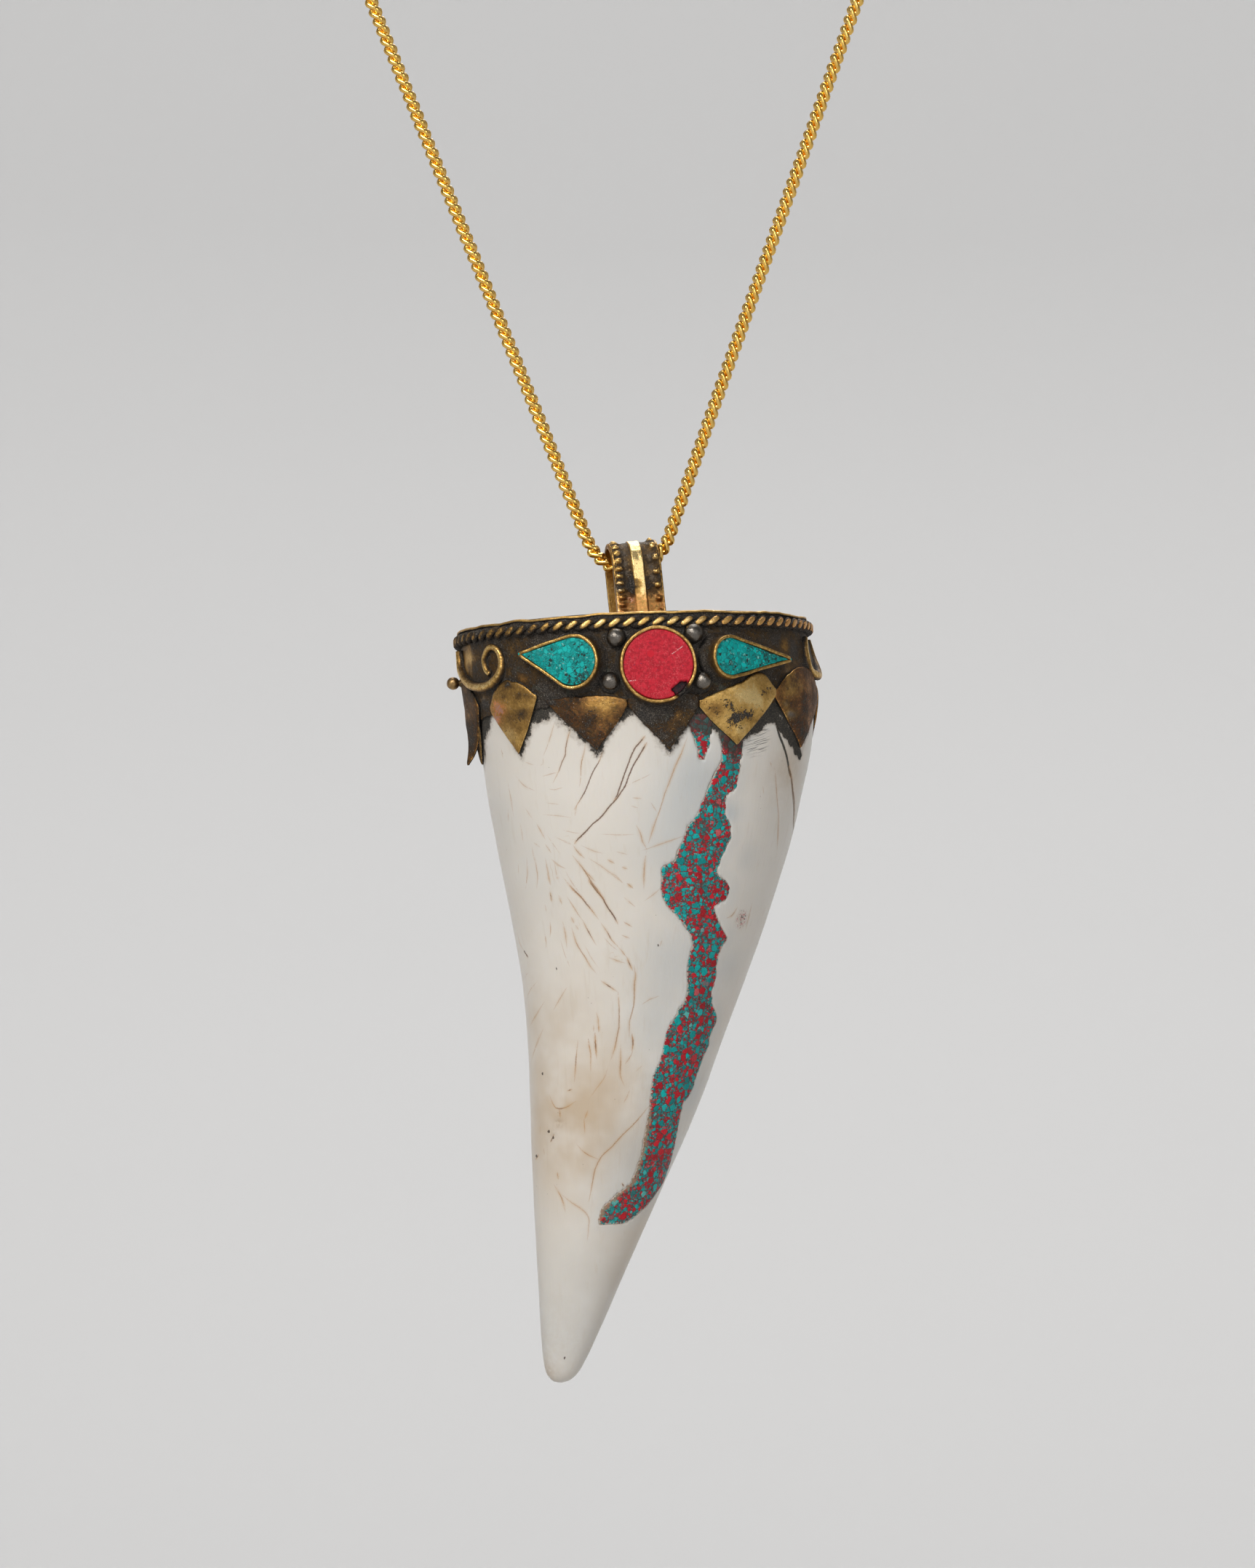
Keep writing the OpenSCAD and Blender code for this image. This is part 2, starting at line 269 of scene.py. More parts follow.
def tube(path, u, w, radius, sides):
    """Rings of a round wire along a path, in the plane of two directions square to it."""
    a = full_turn(sides)[:, None]
    radius = np.broadcast_to(radius, len(path))[:, None, None]
    return path[:, None] + radius * (np.cos(a) * u[:, None] + np.sin(a) * w[:, None])


def grid_faces(rows, columns, wrap_rows=False, capped=False):
    """Faces of rings of points, joined ring to ring, as lists of their points' numbers."""
    r, c = np.meshgrid(np.arange(rows if wrap_rows else rows - 1), np.arange(columns), indexing="ij")
    r2, c2 = (r + 1) % rows, (c + 1) % columns
    faces = beside(r * columns + c, r * columns + c2, r2 * columns + c2, r2 * columns + c)
    faces = faces.reshape(-1, 4).tolist()
    if capped:
        faces.append(list(range(columns))[::-1])
        faces.append([(rows - 1) * columns + k for k in range(columns)])
    return faces


class Piece:
    """Collects rings of points and their finish, and makes one Blender object of them."""

    def __init__(self):
        self.points, self.finish, self.faces, self.count = [], [], [], 0

    def grid(self, points, finish=0.0, wrap_rows=False, capped=False):
        """points[ring][place on it]; the last ring meets the first, or both ends are closed."""
        rows, columns = points.shape[:2]
        self.faces += [[i + self.count for i in face]
                       for face in grid_faces(rows, columns, wrap_rows, capped)]
        self.points.append(points.reshape(-1, 3))
        self.finish.append(np.broadcast_to(finish, points.shape).reshape(-1, 3))
        self.count += rows * columns

    def build(self, name, node, material, body="pendant", extra=()):
        points = np.vstack(self.points)
        mesh = bpy.data.meshes.new(name)
        # The chain's points are in the row frame already
        mesh.from_pydata((points * MM if body == "chain" else to_row(points)).tolist(), [], self.faces)
        for attribute, values in [("finish", np.vstack(self.finish)), *extra]:
            layer = mesh.attributes.new(attribute, "FLOAT_VECTOR", "POINT")
            layer.data.foreach_set("vector", values.astype(np.float32).ravel())
        mesh.polygons.foreach_set("use_smooth", [True] * len(mesh.polygons))
        mesh.update()
        mesh.materials.append(material)
        piece = link(name, mesh)
        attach(piece, body)
        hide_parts(node)


# Materials

def operation(kind, swapped=False):
    def run(self, other=0.0):
        a, b = (other, self) if swapped else (self, other)
        return self.paint.node("Math", "Value", {"operation": kind}, i0=a, i1=b)
    return run


class Value:
    """A node's output that can be calculated with, which makes more nodes."""

    __add__, __radd__ = operation("ADD"), operation("ADD", True)
    __sub__, __rsub__ = operation("SUBTRACT"), operation("SUBTRACT", True)
    __mul__ = operation("MULTIPLY")
    least, most = operation("MINIMUM"), operation("MAXIMUM")
    absolute = operation("ABSOLUTE")

    def __init__(self, paint, socket):
        self.paint, self.socket = paint, socket

    def step(self, low, high):
        """0 below low and 1 above high, or the other way round where low is larger."""
        ends = (0.0, 1.0) if low < high else (1.0, 0.0)
        return self.scaled(min(low, high), max(low, high), *ends, "SMOOTHSTEP")

    def scaled(self, low, high, at_low, at_high, kind="LINEAR"):
        return self.paint.node("MapRange", "Result", {"interpolation_type": kind}, Value=self,
                               From_Min=low, From_Max=high, To_Min=at_low, To_Max=at_high)

    def centred(self, amount):
        """A noise from 0 to 1 shifted to lie round 0, and scaled."""
        return (self - 0.5) * amount


class Paint:
    """Builds a procedural material node by node."""

    def __init__(self, name, **constants):
        self.material = bpy.data.materials.new(name)
        self.material.use_nodes = True
        self.tree = self.material.node_tree
        self.shader = self.tree.nodes["Principled BSDF"]
        for key, value in constants.items():
            self.shader.inputs[key.replace("_", " ")].default_value = value

    def node(self, kind, out, settings=(), **inputs):
        """A new node's output. Its inputs go by their names, or by their numbers after an i."""
        node = self.tree.nodes.new("ShaderNode" + kind)
        for key, value in dict(settings).items():
            setattr(node, key, value)
        for key, value in inputs.items():
            numbered = key[0] == "i" and key[1:].isdigit()
            self.give(node.inputs[int(key[1:]) if numbered else key.replace("_", " ")], value)
        return Value(self, node.outputs[out])

    def give(self, socket, value):
        if isinstance(value, Value):
            self.tree.links.new(value.socket, socket)
        elif isinstance(value, tuple) and len(socket.default_value) == 4:
            socket.default_value = (*value, 1)
        else:
            socket.default_value = value

    def split(self, kind, value):
        """The three parts of a vector (XYZ) or a colour (Color)."""
        node = self.node("Separate" + kind, 0, i0=value).socket.node
        return [Value(self, part) for part in node.outputs[:3]]

    def attribute(self, name):
        return self.split("XYZ", self.node("Attribute", "Vector", {"attribute_name": name}))

    def place(self, scale=(1, 1, 1), turn=None):
        """Object coordinates in millimetres, turned and then stretched."""
        spot = self.node("TexCoord", "Object")
        if turn:
            spot = self.node("Mapping", "Vector", Vector=spot,
                             Rotation=tuple(math.radians(t) for t in turn))
        return self.node("Mapping", "Vector", Vector=spot, Scale=tuple(s / MM for s in scale))

    def bend(self, where, size, detail, share):
        """Places pushed about by noise of a size."""
        push = self.node("TexNoise", "Color", Vector=where, Scale=1 / size, Detail=detail)
        return self.node("Mix", 1, {"data_type": "VECTOR"}, i0=share, i4=where, i5=push)

    def noise(self, size, detail=2, roughness=0.5, where=None):
        return self.node("TexNoise", "Fac", Vector=where or self.place(), Scale=1 / size,
                         Detail=detail, Roughness=roughness)

    def cells(self, size, where):
        """Three random numbers of the cell here, and the distance to its middle in cells."""
        colour = self.node("TexVoronoi", "Color", Vector=where, Scale=1 / size)
        middle = Value(self, colour.socket.node.outputs["Distance"])
        return (*self.split("Color", colour), middle)

    def cell_edge(self, size, where):
        """Distance to the edge of the cell here, in cells."""
        return self.node("TexVoronoi", "Distance", {"feature": "DISTANCE_TO_EDGE"}, Vector=where,
                         Scale=1 / size)

    def dots(self, spacing):
        """Round spots: distance to the nearest in mm, and a random number of it."""
        pick, _, _, far = self.cells(spacing, self.place())
        return far * spacing, pick

    def mix(self, amount, a, b, blend="MIX"):
        return self.node("Mix", 2, {"data_type": "RGBA", "blend_type": blend},
                         i0=amount, i6=a, i7=b)

    def coats(self, colour, *coats):
        """A colour with others laid over it, each given as its amount and itself."""
        for amount, coat in coats:
            colour = self.mix(amount, colour, coat)
        return colour

    def finish(self, colour, height, depth, **others):
        """The material, with bumps of a depth in mm and the shader's other inputs by name."""
        bump = self.node("Bump", "Normal", Height=height, Distance=depth * MM, Strength=1.0)
        for key, value in dict(others, Base_Color=colour, Normal=bump).items():
            self.give(self.shader.inputs[key.replace("_", " ")], value)
        return self.material


# Horn and inlay

# Outlines of the inlay: (angle, height) down its left and right edges
STRIP_LEFT = [
    (17, -9), (18.1, -11.3), (19.5, -13.25), (16.4, -15.1), (13.5, -17.3), (11.4, -18.6),
    (8, -19.6), (6.9, -21), (5, -22), (4.9, -22.8), (-0.7, -23.1), (0.1, -24.3), (0.4, -25.6),
    (3.9, -26.9), (10, -28), (14.3, -29), (18.2, -29.9), (18.9, -30.5), (18.1, -31.8), (18.9, -33),
    (21.1, -34.2), (22.5, -35.7), (19.7, -36.4), (17.9, -37.5), (15.2, -38), (15.6, -39.1),
    (15.7, -40.6), (14.8, -41.8), (13.2, -42.8), (14.8, -44.2), (16.5, -45.4), (17.7, -46.6),
    (18.8, -48), (22.5, -50.4), (21.3, -51.9), (19.5, -52.9), (8.9, -53.8), (-1.2, -55),
    (-1.4, -56.1), (1, -56.5)]
STRIP_RIGHT = [
    (27, -9), (27.5, -12), (27.4, -14.5), (26.8, -16.2), (23.2, -16.5), (23.4, -18.4),
    (26.1, -19.1), (28, -20.6), (26.1, -21.8), (24.6, -23.1), (24, -24), (29.5, -24.5),
    (32.8, -25.3), (32.7, -26.4), (26.1, -26.8), (27.9, -27.6), (33.3, -29), (38.6, -29.8),
    (38.3, -30.4), (36, -31), (36.4, -32.2), (39.2, -33.7), (39.2, -35), (41.8, -36),
    (48.8, -36.9), (52.5, -37.7), (50.1, -38.9), (52.6, -40.1), (50.7, -41), (50.2, -42.1),
    (50.5, -43.2), (51, -44.3), (46, -45.2), (46.7, -46.1), (49.7, -47.1), (53.1, -48.2),
    (73, -52.6), (53.9, -54.8), (34.6, -56.2), (22.8, -56.45), (14, -56.5)]
TONGUE_LEFT = [(6, -9), (6.8, -10.15), (9, -11.6), (10.6, -13), (11.2, -13.4)]
TONGUE_RIGHT = [(15.5, -9), (15.1, -10.2), (14.3, -12), (12.6, -13.3), (12.2, -13.4)]
INLAY_STEP = 0.13
INLAY_DEPTH = 0.7
INLAY_PROUD = 0.05
TEAL_SHARE = 0.52

# Lower edge of the cap's petals: (angle, height) from corner to point to corner
PETAL_EDGE = np.array([
    (-98, -7), (-91, -11.8), (-68.5, -6.8), (-56.8, -11.7), (-44.3, -7.1), (-41, -7.6), (-24.8, -12),
    (-13.2, -7.6), (0, -12.3), (10, -8.4), (24.3, -12), (40.6, -7.6), (59.6, -12), (78, -7.3),
    (94, -12.1), (107, -7.3), (121, -12.2), (136, -7.4), (150, -12.3), (165, -7.3), (181, -12.1),
    (196, -7.4), (210, -12.2), (228, -7), (244, -12.1), (262, -7)])

# The horn's columns of points stand closer together in front, where the fine lines are
HORN_ANGLES = np.hstack([np.linspace(-100, 100, 285, endpoint=False),
                         np.linspace(100, 260, 125, endpoint=False)])
HORN_STEP = 0.34
# Arc length on the front for each radian, as a share of the half width
ARC_SHARE = 0.93

# Cracks, veins and hair lines on the front: strength, then places in the photograph, x and y
SHELL_LINES = [
    (1.0, 890, 1019, 885, 1028, 878, 1040, 870, 1053, 863, 1070, 860, 1080, 853, 1090, 847, 1099, 838,
      1108, 829, 1120, 822, 1127, 814, 1133, 806, 1142, 801, 1147, 793, 1154, 788, 1162),
    (0.95, 888, 1010, 882, 1018, 873, 1028, 868, 1038, 863, 1052, 859, 1062, 855, 1074, 851, 1085, 848,
      1094, 842, 1103),
    (0.85, 827, 1038, 823, 1048, 818, 1055, 812, 1067, 808, 1078, 803, 1090, 798, 1098, 792, 1108),
    (0.35, 792, 1108, 791, 1115, 790, 1121),
    (0.75, 783, 1005, 779, 1020, 777, 1030, 777, 1038, 772, 1048, 768, 1060, 764, 1068),
    (0.35, 766, 1062, 757, 1064, 747, 1067), (0.4, 762, 995, 758, 1008, 755, 1018, 751, 1029, 748, 1036),
    (0.6, 804, 1027, 802, 1038, 799, 1047, 798, 1057, 798, 1070, 797, 1076),
    (0.6, 788, 1163, 793, 1171, 802, 1179),
    (0.7, 792, 1183, 801, 1194, 808, 1205, 813, 1214, 822, 1225, 829, 1236),
    (0.5, 802, 1196, 808, 1202, 817, 1211), (0.55, 738, 1134, 743, 1143, 748, 1152),
    (0.5, 750, 1162, 757, 1172), (0.3, 759, 1182, 767, 1189, 776, 1194),
    (0.4, 710, 1069, 717, 1078, 722, 1082, 732, 1086), (0.4, 698, 1079, 700, 1090, 702, 1100, 705, 1120),
    (0.3, 698, 1113, 698, 1130), (0.3, 689, 1030, 691, 1042), (0.3, 755, 1085, 763, 1086, 772, 1083),
    (0.22, 751, 1104, 768, 1106), (0.25, 748, 1120, 772, 1122, 783, 1124),
    (0.2, 772, 1141, 788, 1145, 798, 1146), (0.25, 775, 1158, 787, 1161), (0.25, 722, 1112, 732, 1127),
    (0.25, 715, 1133, 719, 1158), (0.25, 733, 1158, 742, 1165),
    (0.5, 735, 1180, 737, 1192, 739, 1205, 738, 1218), (0.4, 724, 1182, 725, 1200, 723, 1220),
    (0.25, 712, 1188, 713, 1202), (0.5, 750, 1183, 753, 1200, 756, 1213),
    (0.3, 762, 1187, 765, 1205, 768, 1212), (0.6, 781, 1216, 788, 1225, 798, 1233, 803, 1238),
    (0.3, 893, 1065, 883, 1070, 872, 1075, 862, 1080), (0.4, 870, 1097, 881, 1098),
    (0.35, 895, 1104, 902, 1115), (0.25, 868, 1108, 877, 1111),
    (0.55, 876, 1137, 880, 1145, 883, 1157, 888, 1166),
    (0.55, 888, 1175, 886, 1187, 885, 1205, 885, 1218), (0.25, 827, 1147, 852, 1148, 872, 1147),
    (0.3, 800, 1163, 815, 1170, 827, 1173), (0.5, 835, 1182, 844, 1187), (0.5, 855, 1192, 862, 1195),
    (0.25, 847, 1171, 863, 1175), (0.3, 812, 1182, 825, 1190, 838, 1200, 847, 1204, 855, 1213),
    (0.5, 862, 1215, 869, 1221), (0.25, 722, 1048, 733, 1052), (0.22, 746, 1042, 747, 1052, 742, 1052),
    (1.0, 807, 1208, 815, 1219, 822, 1228, 828, 1234, 832, 1243, 838, 1252, 844, 1260, 850, 1272),
    (0.8, 780, 1214, 787, 1222, 797, 1232, 805, 1242, 812, 1250, 818, 1258),
    (0.7, 828, 1272, 835, 1282, 840, 1292, 848, 1300), (0.3, 853, 1305, 860, 1315),
    (0.8, 862, 1317, 865, 1325, 869, 1333), (0.6, 873, 1336, 874, 1342, 872, 1350, 872, 1360, 872, 1372,
      871, 1383, 868, 1395, 865, 1404, 865, 1417), (0.75, 869, 1424, 871, 1432, 869, 1445),
    (0.75, 802, 1268, 807, 1278, 812, 1287, 818, 1297),
    (0.6, 788, 1283, 792, 1297, 798, 1307, 805, 1317, 810, 1327, 815, 1333), (0.8, 756, 1227, 758, 1239),
    (0.4, 752, 1202, 756, 1216), (0.5, 768, 1232, 772, 1243), (0.5, 785, 1261, 789, 1269),
    (0.4, 791, 1272, 795, 1278), (0.45, 774, 1270, 777, 1283, 779, 1301),
    (0.25, 780, 1235, 790, 1250, 798, 1263), (0.25, 757, 1272, 757, 1283), (0.3, 749, 1286, 750, 1295),
    (0.3, 724, 1205, 724, 1216), (0.45, 764, 1205, 768, 1210), (0.3, 840, 1202, 850, 1209, 857, 1215),
    (0.5, 863, 1215, 870, 1221), (0.4, 859, 1235, 867, 1242, 872, 1246), (0.6, 858, 1268, 868, 1274),
    (0.5, 855, 1286, 865, 1290), (0.8, 828, 1350, 837, 1356, 846, 1362),
    (0.4, 838, 1317, 848, 1321, 858, 1324),
    (0.65, 850, 1372, 851, 1385, 851, 1400, 851, 1412, 848, 1425, 846, 1438, 842, 1450),
    (0.45, 820, 1394, 822, 1400, 823, 1417), (0.35, 816, 1410, 816, 1418),
    (0.75, 818, 1423, 818, 1437, 819, 1449), (0.5, 809, 1431, 811, 1448),
    (0.4, 778, 1360, 770, 1373, 762, 1387), (0.3, 737, 1351, 728, 1362, 722, 1373),
    (0.4, 747, 1380, 738, 1395, 730, 1409), (0.35, 747, 1415, 740, 1433, 734, 1448),
    (0.25, 725, 1338, 718, 1345), (0.45, 707, 1278, 709, 1287, 715, 1298, 719, 1306),
    (1.3, 719, 1307, 722, 1312, 726, 1317), (0.35, 884, 1380, 893, 1374, 905, 1370),
    (0.3, 907, 1301, 910, 1293), (0.7, 794, 1436, 792, 1452, 791, 1468, 790, 1482),
    (0.5, 809, 1431, 812, 1446, 812, 1470), (0.75, 818, 1424, 819, 1440, 820, 1453),
    (0.45, 823, 1410, 823, 1419), (0.8, 869, 1423, 870, 1434, 869, 1443),
    (0.45, 869, 1447, 866, 1454, 860, 1462), (0.65, 853, 1442, 853, 1460, 852, 1478, 856, 1488),
    (0.45, 865, 1500, 862, 1508, 858, 1515), (0.3, 835, 1470, 831, 1482, 822, 1494, 812, 1508),
    (0.5, 808, 1527, 804, 1538), (0.5, 803, 1540, 804, 1557),
    (0.6, 887, 1527, 878, 1538, 869, 1548, 858, 1558, 848, 1569, 840, 1578, 828, 1588, 822, 1598, 817,
      1610, 815, 1622, 813, 1634, 811, 1644), (0.6, 795, 1576, 801, 1583, 810, 1589, 820, 1593),
    (0.7, 757, 1510, 760, 1518, 764, 1524, 770, 1525, 780, 1522, 789, 1516), (0.8, 780, 1500, 786, 1498),
    (0.7, 769, 1526, 770, 1536), (0.9, 762, 1559, 759, 1565, 756, 1571), (0.8, 740, 1588, 736, 1594),
    (0.6, 766, 1612, 767, 1621), (0.3, 747, 1579, 748, 1588), (0.25, 742, 1548, 742, 1560),
    (0.35, 741, 1426, 736, 1442, 730, 1460), (0.6, 763, 1632, 768, 1640, 773, 1650, 776, 1663),
    (0.4, 776, 1646, 786, 1654, 796, 1660, 806, 1668, 810, 1676, 809, 1688, 808, 1699),
    (0.3, 882, 1466, 874, 1473), (0.9, 854, 1626, 858, 1632),
    (0.5, 942, 1021, 936, 1037, 928, 1054, 922, 1070, 914, 1090, 907, 1114, 900, 1132, 893, 1154),
    (2.6, 1064, 984, 1068, 998, 1072, 1012, 1077, 1024, 1082, 1040, 1085, 1056, 1088, 1070),
    (1.9, 1085, 1052, 1088, 1064, 1090, 1080, 1091, 1096, 1092, 1112, 1091, 1130, 1089, 1152),
    (1.75, 1089, 1066, 1091, 1084, 1093, 1104, 1092, 1128, 1090, 1150),
    (0.5, 1066, 1063, 1068, 1083, 1069, 1101, 1071, 1123, 1070, 1146, 1069, 1163),
    (0.3, 1049, 1081, 1050, 1091), (0.3, 1059, 1047, 1061, 1054),
    (0.45, 1034, 1244, 1030, 1261, 1026, 1277), (0.6, 1000, 1262, 1007, 1259, 1013, 1249),
    (0.35, 887, 1168, 904, 1162, 927, 1154, 938, 1150), (0.3, 887, 1238, 902, 1227, 908, 1221),
    (0.25, 780, 1234, 786, 1243, 790, 1250, 796, 1259, 801, 1266), (0.3, 849, 1302, 856, 1309, 861, 1316),
    (0.25, 749, 1244, 751, 1254), (0.35, 756, 1268, 757, 1278, 756, 1288),
    (0.3, 749, 1284, 751, 1294, 750, 1303), (0.22, 763, 1151, 774, 1156, 783, 1159),
    (0.22, 731, 1164, 733, 1176, 735, 1186), (0.2, 752, 1149, 761, 1162, 769, 1174),
    (0.25, 758, 1182, 766, 1190, 776, 1194), (0.3, 778, 1200, 786, 1214, 795, 1226),
    (0.25, 771, 1294, 776, 1312, 783, 1328), (0.22, 804, 1300, 812, 1316, 822, 1330),
    (0.25, 831, 1290, 840, 1300, 848, 1306)]
# Dark specks: place and radius in the photograph
SPECKS = [
    (746, 1476, 2.2), (742, 1337, 1.4), (765, 1332, 1.4), (754, 1555, 2.6), (760, 1563, 2.4),
    (737, 1590, 2.8), (720, 1307, 2.0), (697, 1094, 1.2), (903, 1529, 1.5), (812, 1527, 1.3),
    (776, 1867, 1.2), (905, 1300, 1.2)]
# Soft stains: place and radius in the photograph, then how much cream, blue-grey and brown
STAINS = [
    (770, 1540, 90, 1.1, 0, 0), (840, 1510, 80, 0.6, 0, 0), (745, 1400, 80, 0.55, 0, 0),
    (800, 1600, 70, 0.4, 0, 0), (900, 1420, 60, 0.2, 0, 0), (820, 1250, 90, 0.15, 0, 0),
    (960, 1060, 46, 0, 0.9, 0), (935, 1120, 50, 0, 0.7, 0), (915, 1180, 45, 0, 0.5, 0),
    (925, 1320, 50, 0, 0.7, 0), (905, 1410, 50, 0, 0.6, 0), (870, 1580, 40, 0, 0.5, 0),
    (850, 1640, 40, 0, 0.45, 0), (950, 1500, 35, 0, 0.8, 0), (920, 1590, 35, 0, 0.6, 0),
    (1004, 1118, 18, 0, 0.9, 0), (1026, 1180, 20, 0, 0.4, 0), (1000, 1330, 28, 0, 0.5, 0),
    (1085, 1060, 50, 0.7, 0, 0.1), (1060, 1250, 60, 0.45, 0, 0), (1010, 1390, 50, 0.5, 0, 0.1),
    (880, 1700, 60, 0.6, 0, 0), (850, 1780, 60, 0.55, 0, 0), (752, 1885, 14, 0.4, 0, 0.2),
    (1019, 1264, 11, 0, 0, 0.3), (768, 1543, 7, 0.6, 0, 0.5), (760, 1560, 7, 0.4, 0, 0.3),
    (750, 1850, 60, 0.4, 0.55, 0.08), (790, 1760, 80, 0.2, 0.45, 0), (745, 1890, 22, 0.3, 0, 0.08),
    (730, 1200, 60, 0, 0.25, 0), (690, 1120, 40, 0, 0.3, 0)]
# Grime and painted shade that spread from under the petals: place, radius, amount in mm
GRIME_AND_SHADE = [
    (1046, 982, 22, 1.7), (1063, 986, 12, 1.8), (1073, 1000, 9, 2.2), (1080, 1010, 8, 2.2),
    (1087, 1021, 8, 2.2), (1094, 1032, 7, 2.3), (1100, 1041, 7, 2.3), (747, 985, 12, 1.5),
    (1010, 1012, 14, 0.5), (672, 1000, 9, 0.7), (752, 1002, 12, 0.5), (862, 1002, 10, 0.5),
    (861, 984, 10, 1.3), (966, 990, 17, 2.6), (668, 1040, 8, 0.6), (1000, 988, 15, 1.4),
    (1040, 1000, 12, 0.9), (828, 1034, 8, 0.4), (716, 1030, 7, 0.3)]
SCRATCHES = (1038, 1014, 26)
RED_SMUDGE = (1020, 1264, 13)
# A line is felt this far away, its strength this far, and it is followed in steps
REACH = 1.3
FADE_OUT = 0.55
LINE_STEP = 0.4
LINE_GROUPS = 5
BACK_LINES = 90
FAR = 99.0


def seen(places):
    """Places in the photograph, in its pixels, as points on the horn's front."""
    across, down = ((np.array(places, float) - (PHOTO_WIDTH / 2, PHOTO_HEIGHT / 2)) * MM_PER_PIXEL).T
    ray = CAMERA_DISTANCE * look + across[:, None] * camera_right - down[:, None] * camera_up
    ray = unit(ray) @ PENDANT_TURN
    start = (camera_place - HANG_POINT) @ PENDANT_TURN + BAIL_PLACE
    # Start on the plane through the middle, then close in on the surface
    t = -start[1] / ray[:, 1]
    for _ in range(60):
        p = start + t[:, None] * ray
        shift, a = section(SHELL_CURVE, p[:, 2])
        x = np.clip((p[:, 0] - shift) / a, -0.995, 0.995)
        t += (-a * DEPTH_RATIO * np.sqrt(1 - x * x) - p[:, 1]) / ray[:, 1]
    return start + t[:, None] * ray


def radii(points, x, y, radius):
    """Distance of points from a place on the horn in the photograph, in radii."""
    return np.linalg.norm(points - seen([(x, y)])[0], axis=-1) / (radius * MM_PER_PIXEL)


def round_angle(points):
    """Angles of points round the horn, in radians."""
    shift, _ = section(SHELL_CURVE, points[..., 2])
    return np.arctan2(points[..., 0] - shift, -points[..., 1] / DEPTH_RATIO)


def unrolled(points):
    """Points on the front unrolled: arc length from the front line, and height, in mm."""
    _, a = section(SHELL_CURVE, points[:, 2])
    return beside(round_angle(points) * a * ARC_SHARE, points[:, 2])


def edge_distance(points, outline):
    """Distance of each point from a closed outline on the surface, negative inside it."""
    flat, line = unrolled(points), unrolled(outline)
    best = np.full(len(flat), FAR)
    inside = np.zeros(len(flat), bool)
    for a, b in zip(line, np.roll(line, -1, axis=0)):
        d = b - a
        t = np.clip(((flat - a) @ d) / max(d @ d, 1e-9), 0, 1)
        best = np.minimum(best, np.hypot(*(flat - a - t[:, None] * d).T))
        if a[1] != b[1]:
            crosses = (a[1] > flat[:, 1]) != (b[1] > flat[:, 1])
            inside ^= crosses & (flat[:, 0] < a[0] + (flat[:, 1] - a[1]) / (b[1] - a[1]) * d[0])
    return np.where(inside, -best, best)


def petal_gap(points):
    """Distance of points on the horn below the petals' lower edge, with the spread of the grime and
    painted shade under them.
    """
    angle = np.degrees(round_angle(points))
    angle = np.where(angle < PETAL_EDGE[0, 0], angle + 360, angle)
    below = np.interp(angle, *PETAL_EDGE.T) - points[..., 2]
    for *place, amount in GRIME_AND_SHADE:
        below -= amount * bell(radii(points, *place))
    return below


def smooth_edge(rows, seed):
    """Heights and angles of an inlay's edge at even heights, with a crumbled outline."""
    rows = np.array(rows, float)
    z = np.arange(rows[0, 1], rows[-1, 1], -INLAY_STEP)
    angle = np.pad(np.interp(-z, -rows[:, 1], rows[:, 0]), 2, mode="edge")
    angle = np.convolve(angle, np.array([1, 2, 3, 2, 1]) / 9, mode="valid")
    crumbs = np.array([noise.noise(Vector((seed, h / 0.55, 0))) * 0.16
                       + noise.noise(Vector((seed + 9, h / 0.2, 0))) * 0.07 for h in z])
    return z, angle + np.degrees(crumbs / section(SHELL_CURVE, z)[1])


def inlay_surface(left, right, columns, seed):
    """Grid of (angle, z) between an inlay's edges, and its outline as points on the horn."""
    z, low = smooth_edge(left, seed)
    z2, high = smooth_edge(right, seed + 5)
    rows = min(len(z), len(z2))
    z, low, high = z[:rows], low[:rows], high[:rows]
    angle = low[:, None] + (high - low)[:, None] * np.linspace(0, 1, columns)
    outline = np.vstack([on(SHELL_CURVE, low, z), on(SHELL_CURVE, high, z)[::-1]])
    return angle, np.broadcast_to(z[:, None], angle.shape), outline


def build_inlay(name, node, angle, height, outline, material):
    rows, columns = angle.shape
    face = on(SHELL_CURVE, angle, height, INLAY_PROUD)
    inside = -edge_distance(face.reshape(-1, 3), outline).reshape(angle.shape)
    # Near its left edge, low down, the filler shows between few chips
    tan = np.exp(-np.linspace(0, 1, columns) * 5) * np.clip((-height - 42) / 5, 0, 1)
    finish = beside(inside, tan, petal_gap(face))
    # The face is rubbed down a little towards its edge and its chips stand at slightly
    # different heights
    off = (INLAY_PROUD - 0.06 * np.exp(-np.maximum(inside, 0) / 0.12)
           + wobble(face, (0.45, 0.03, 3), (0.2, 0.015, 5)))
    off[[0, -1]] = 0
    face = on(SHELL_CURVE, angle, height, off)
    back = on(SHELL_CURVE, angle, height, -INLAY_DEPTH)[:, ::-1][:, [0, columns // 2, -1]]
    # Each row is one closed ring: the face, down the right wall, the back and up the left wall
    rings = np.concatenate([face, back], axis=1)
    marks = np.concatenate([finish, np.broadcast_to((0, 0, 9.0), back.shape)], axis=1)
    piece = Piece()
    piece.grid(rings[:, ::-1], marks[:, ::-1], capped=True)
    piece.build(name, node, material)


def back_lines(rng):
    """Cracks and veins on the sides and the back, which the photograph doesn't show."""
    lines = []
    for _ in range(BACK_LINES):
        angle, z = rng.uniform(102, 258), rng.uniform(-60, -12)
        drift, length = rng.uniform(-1.6, 1.6), rng.uniform(2.5, 9)
        line = [on(SHELL_CURVE, angle + drift * j + rng.uniform(-0.8, 0.8), z - length * j / 5)
                for j in range(6)]
        lines.append((rng.choice((0.25, 0.35, 0.5, 0.7, 0.9)), np.array(line)))
    return lines


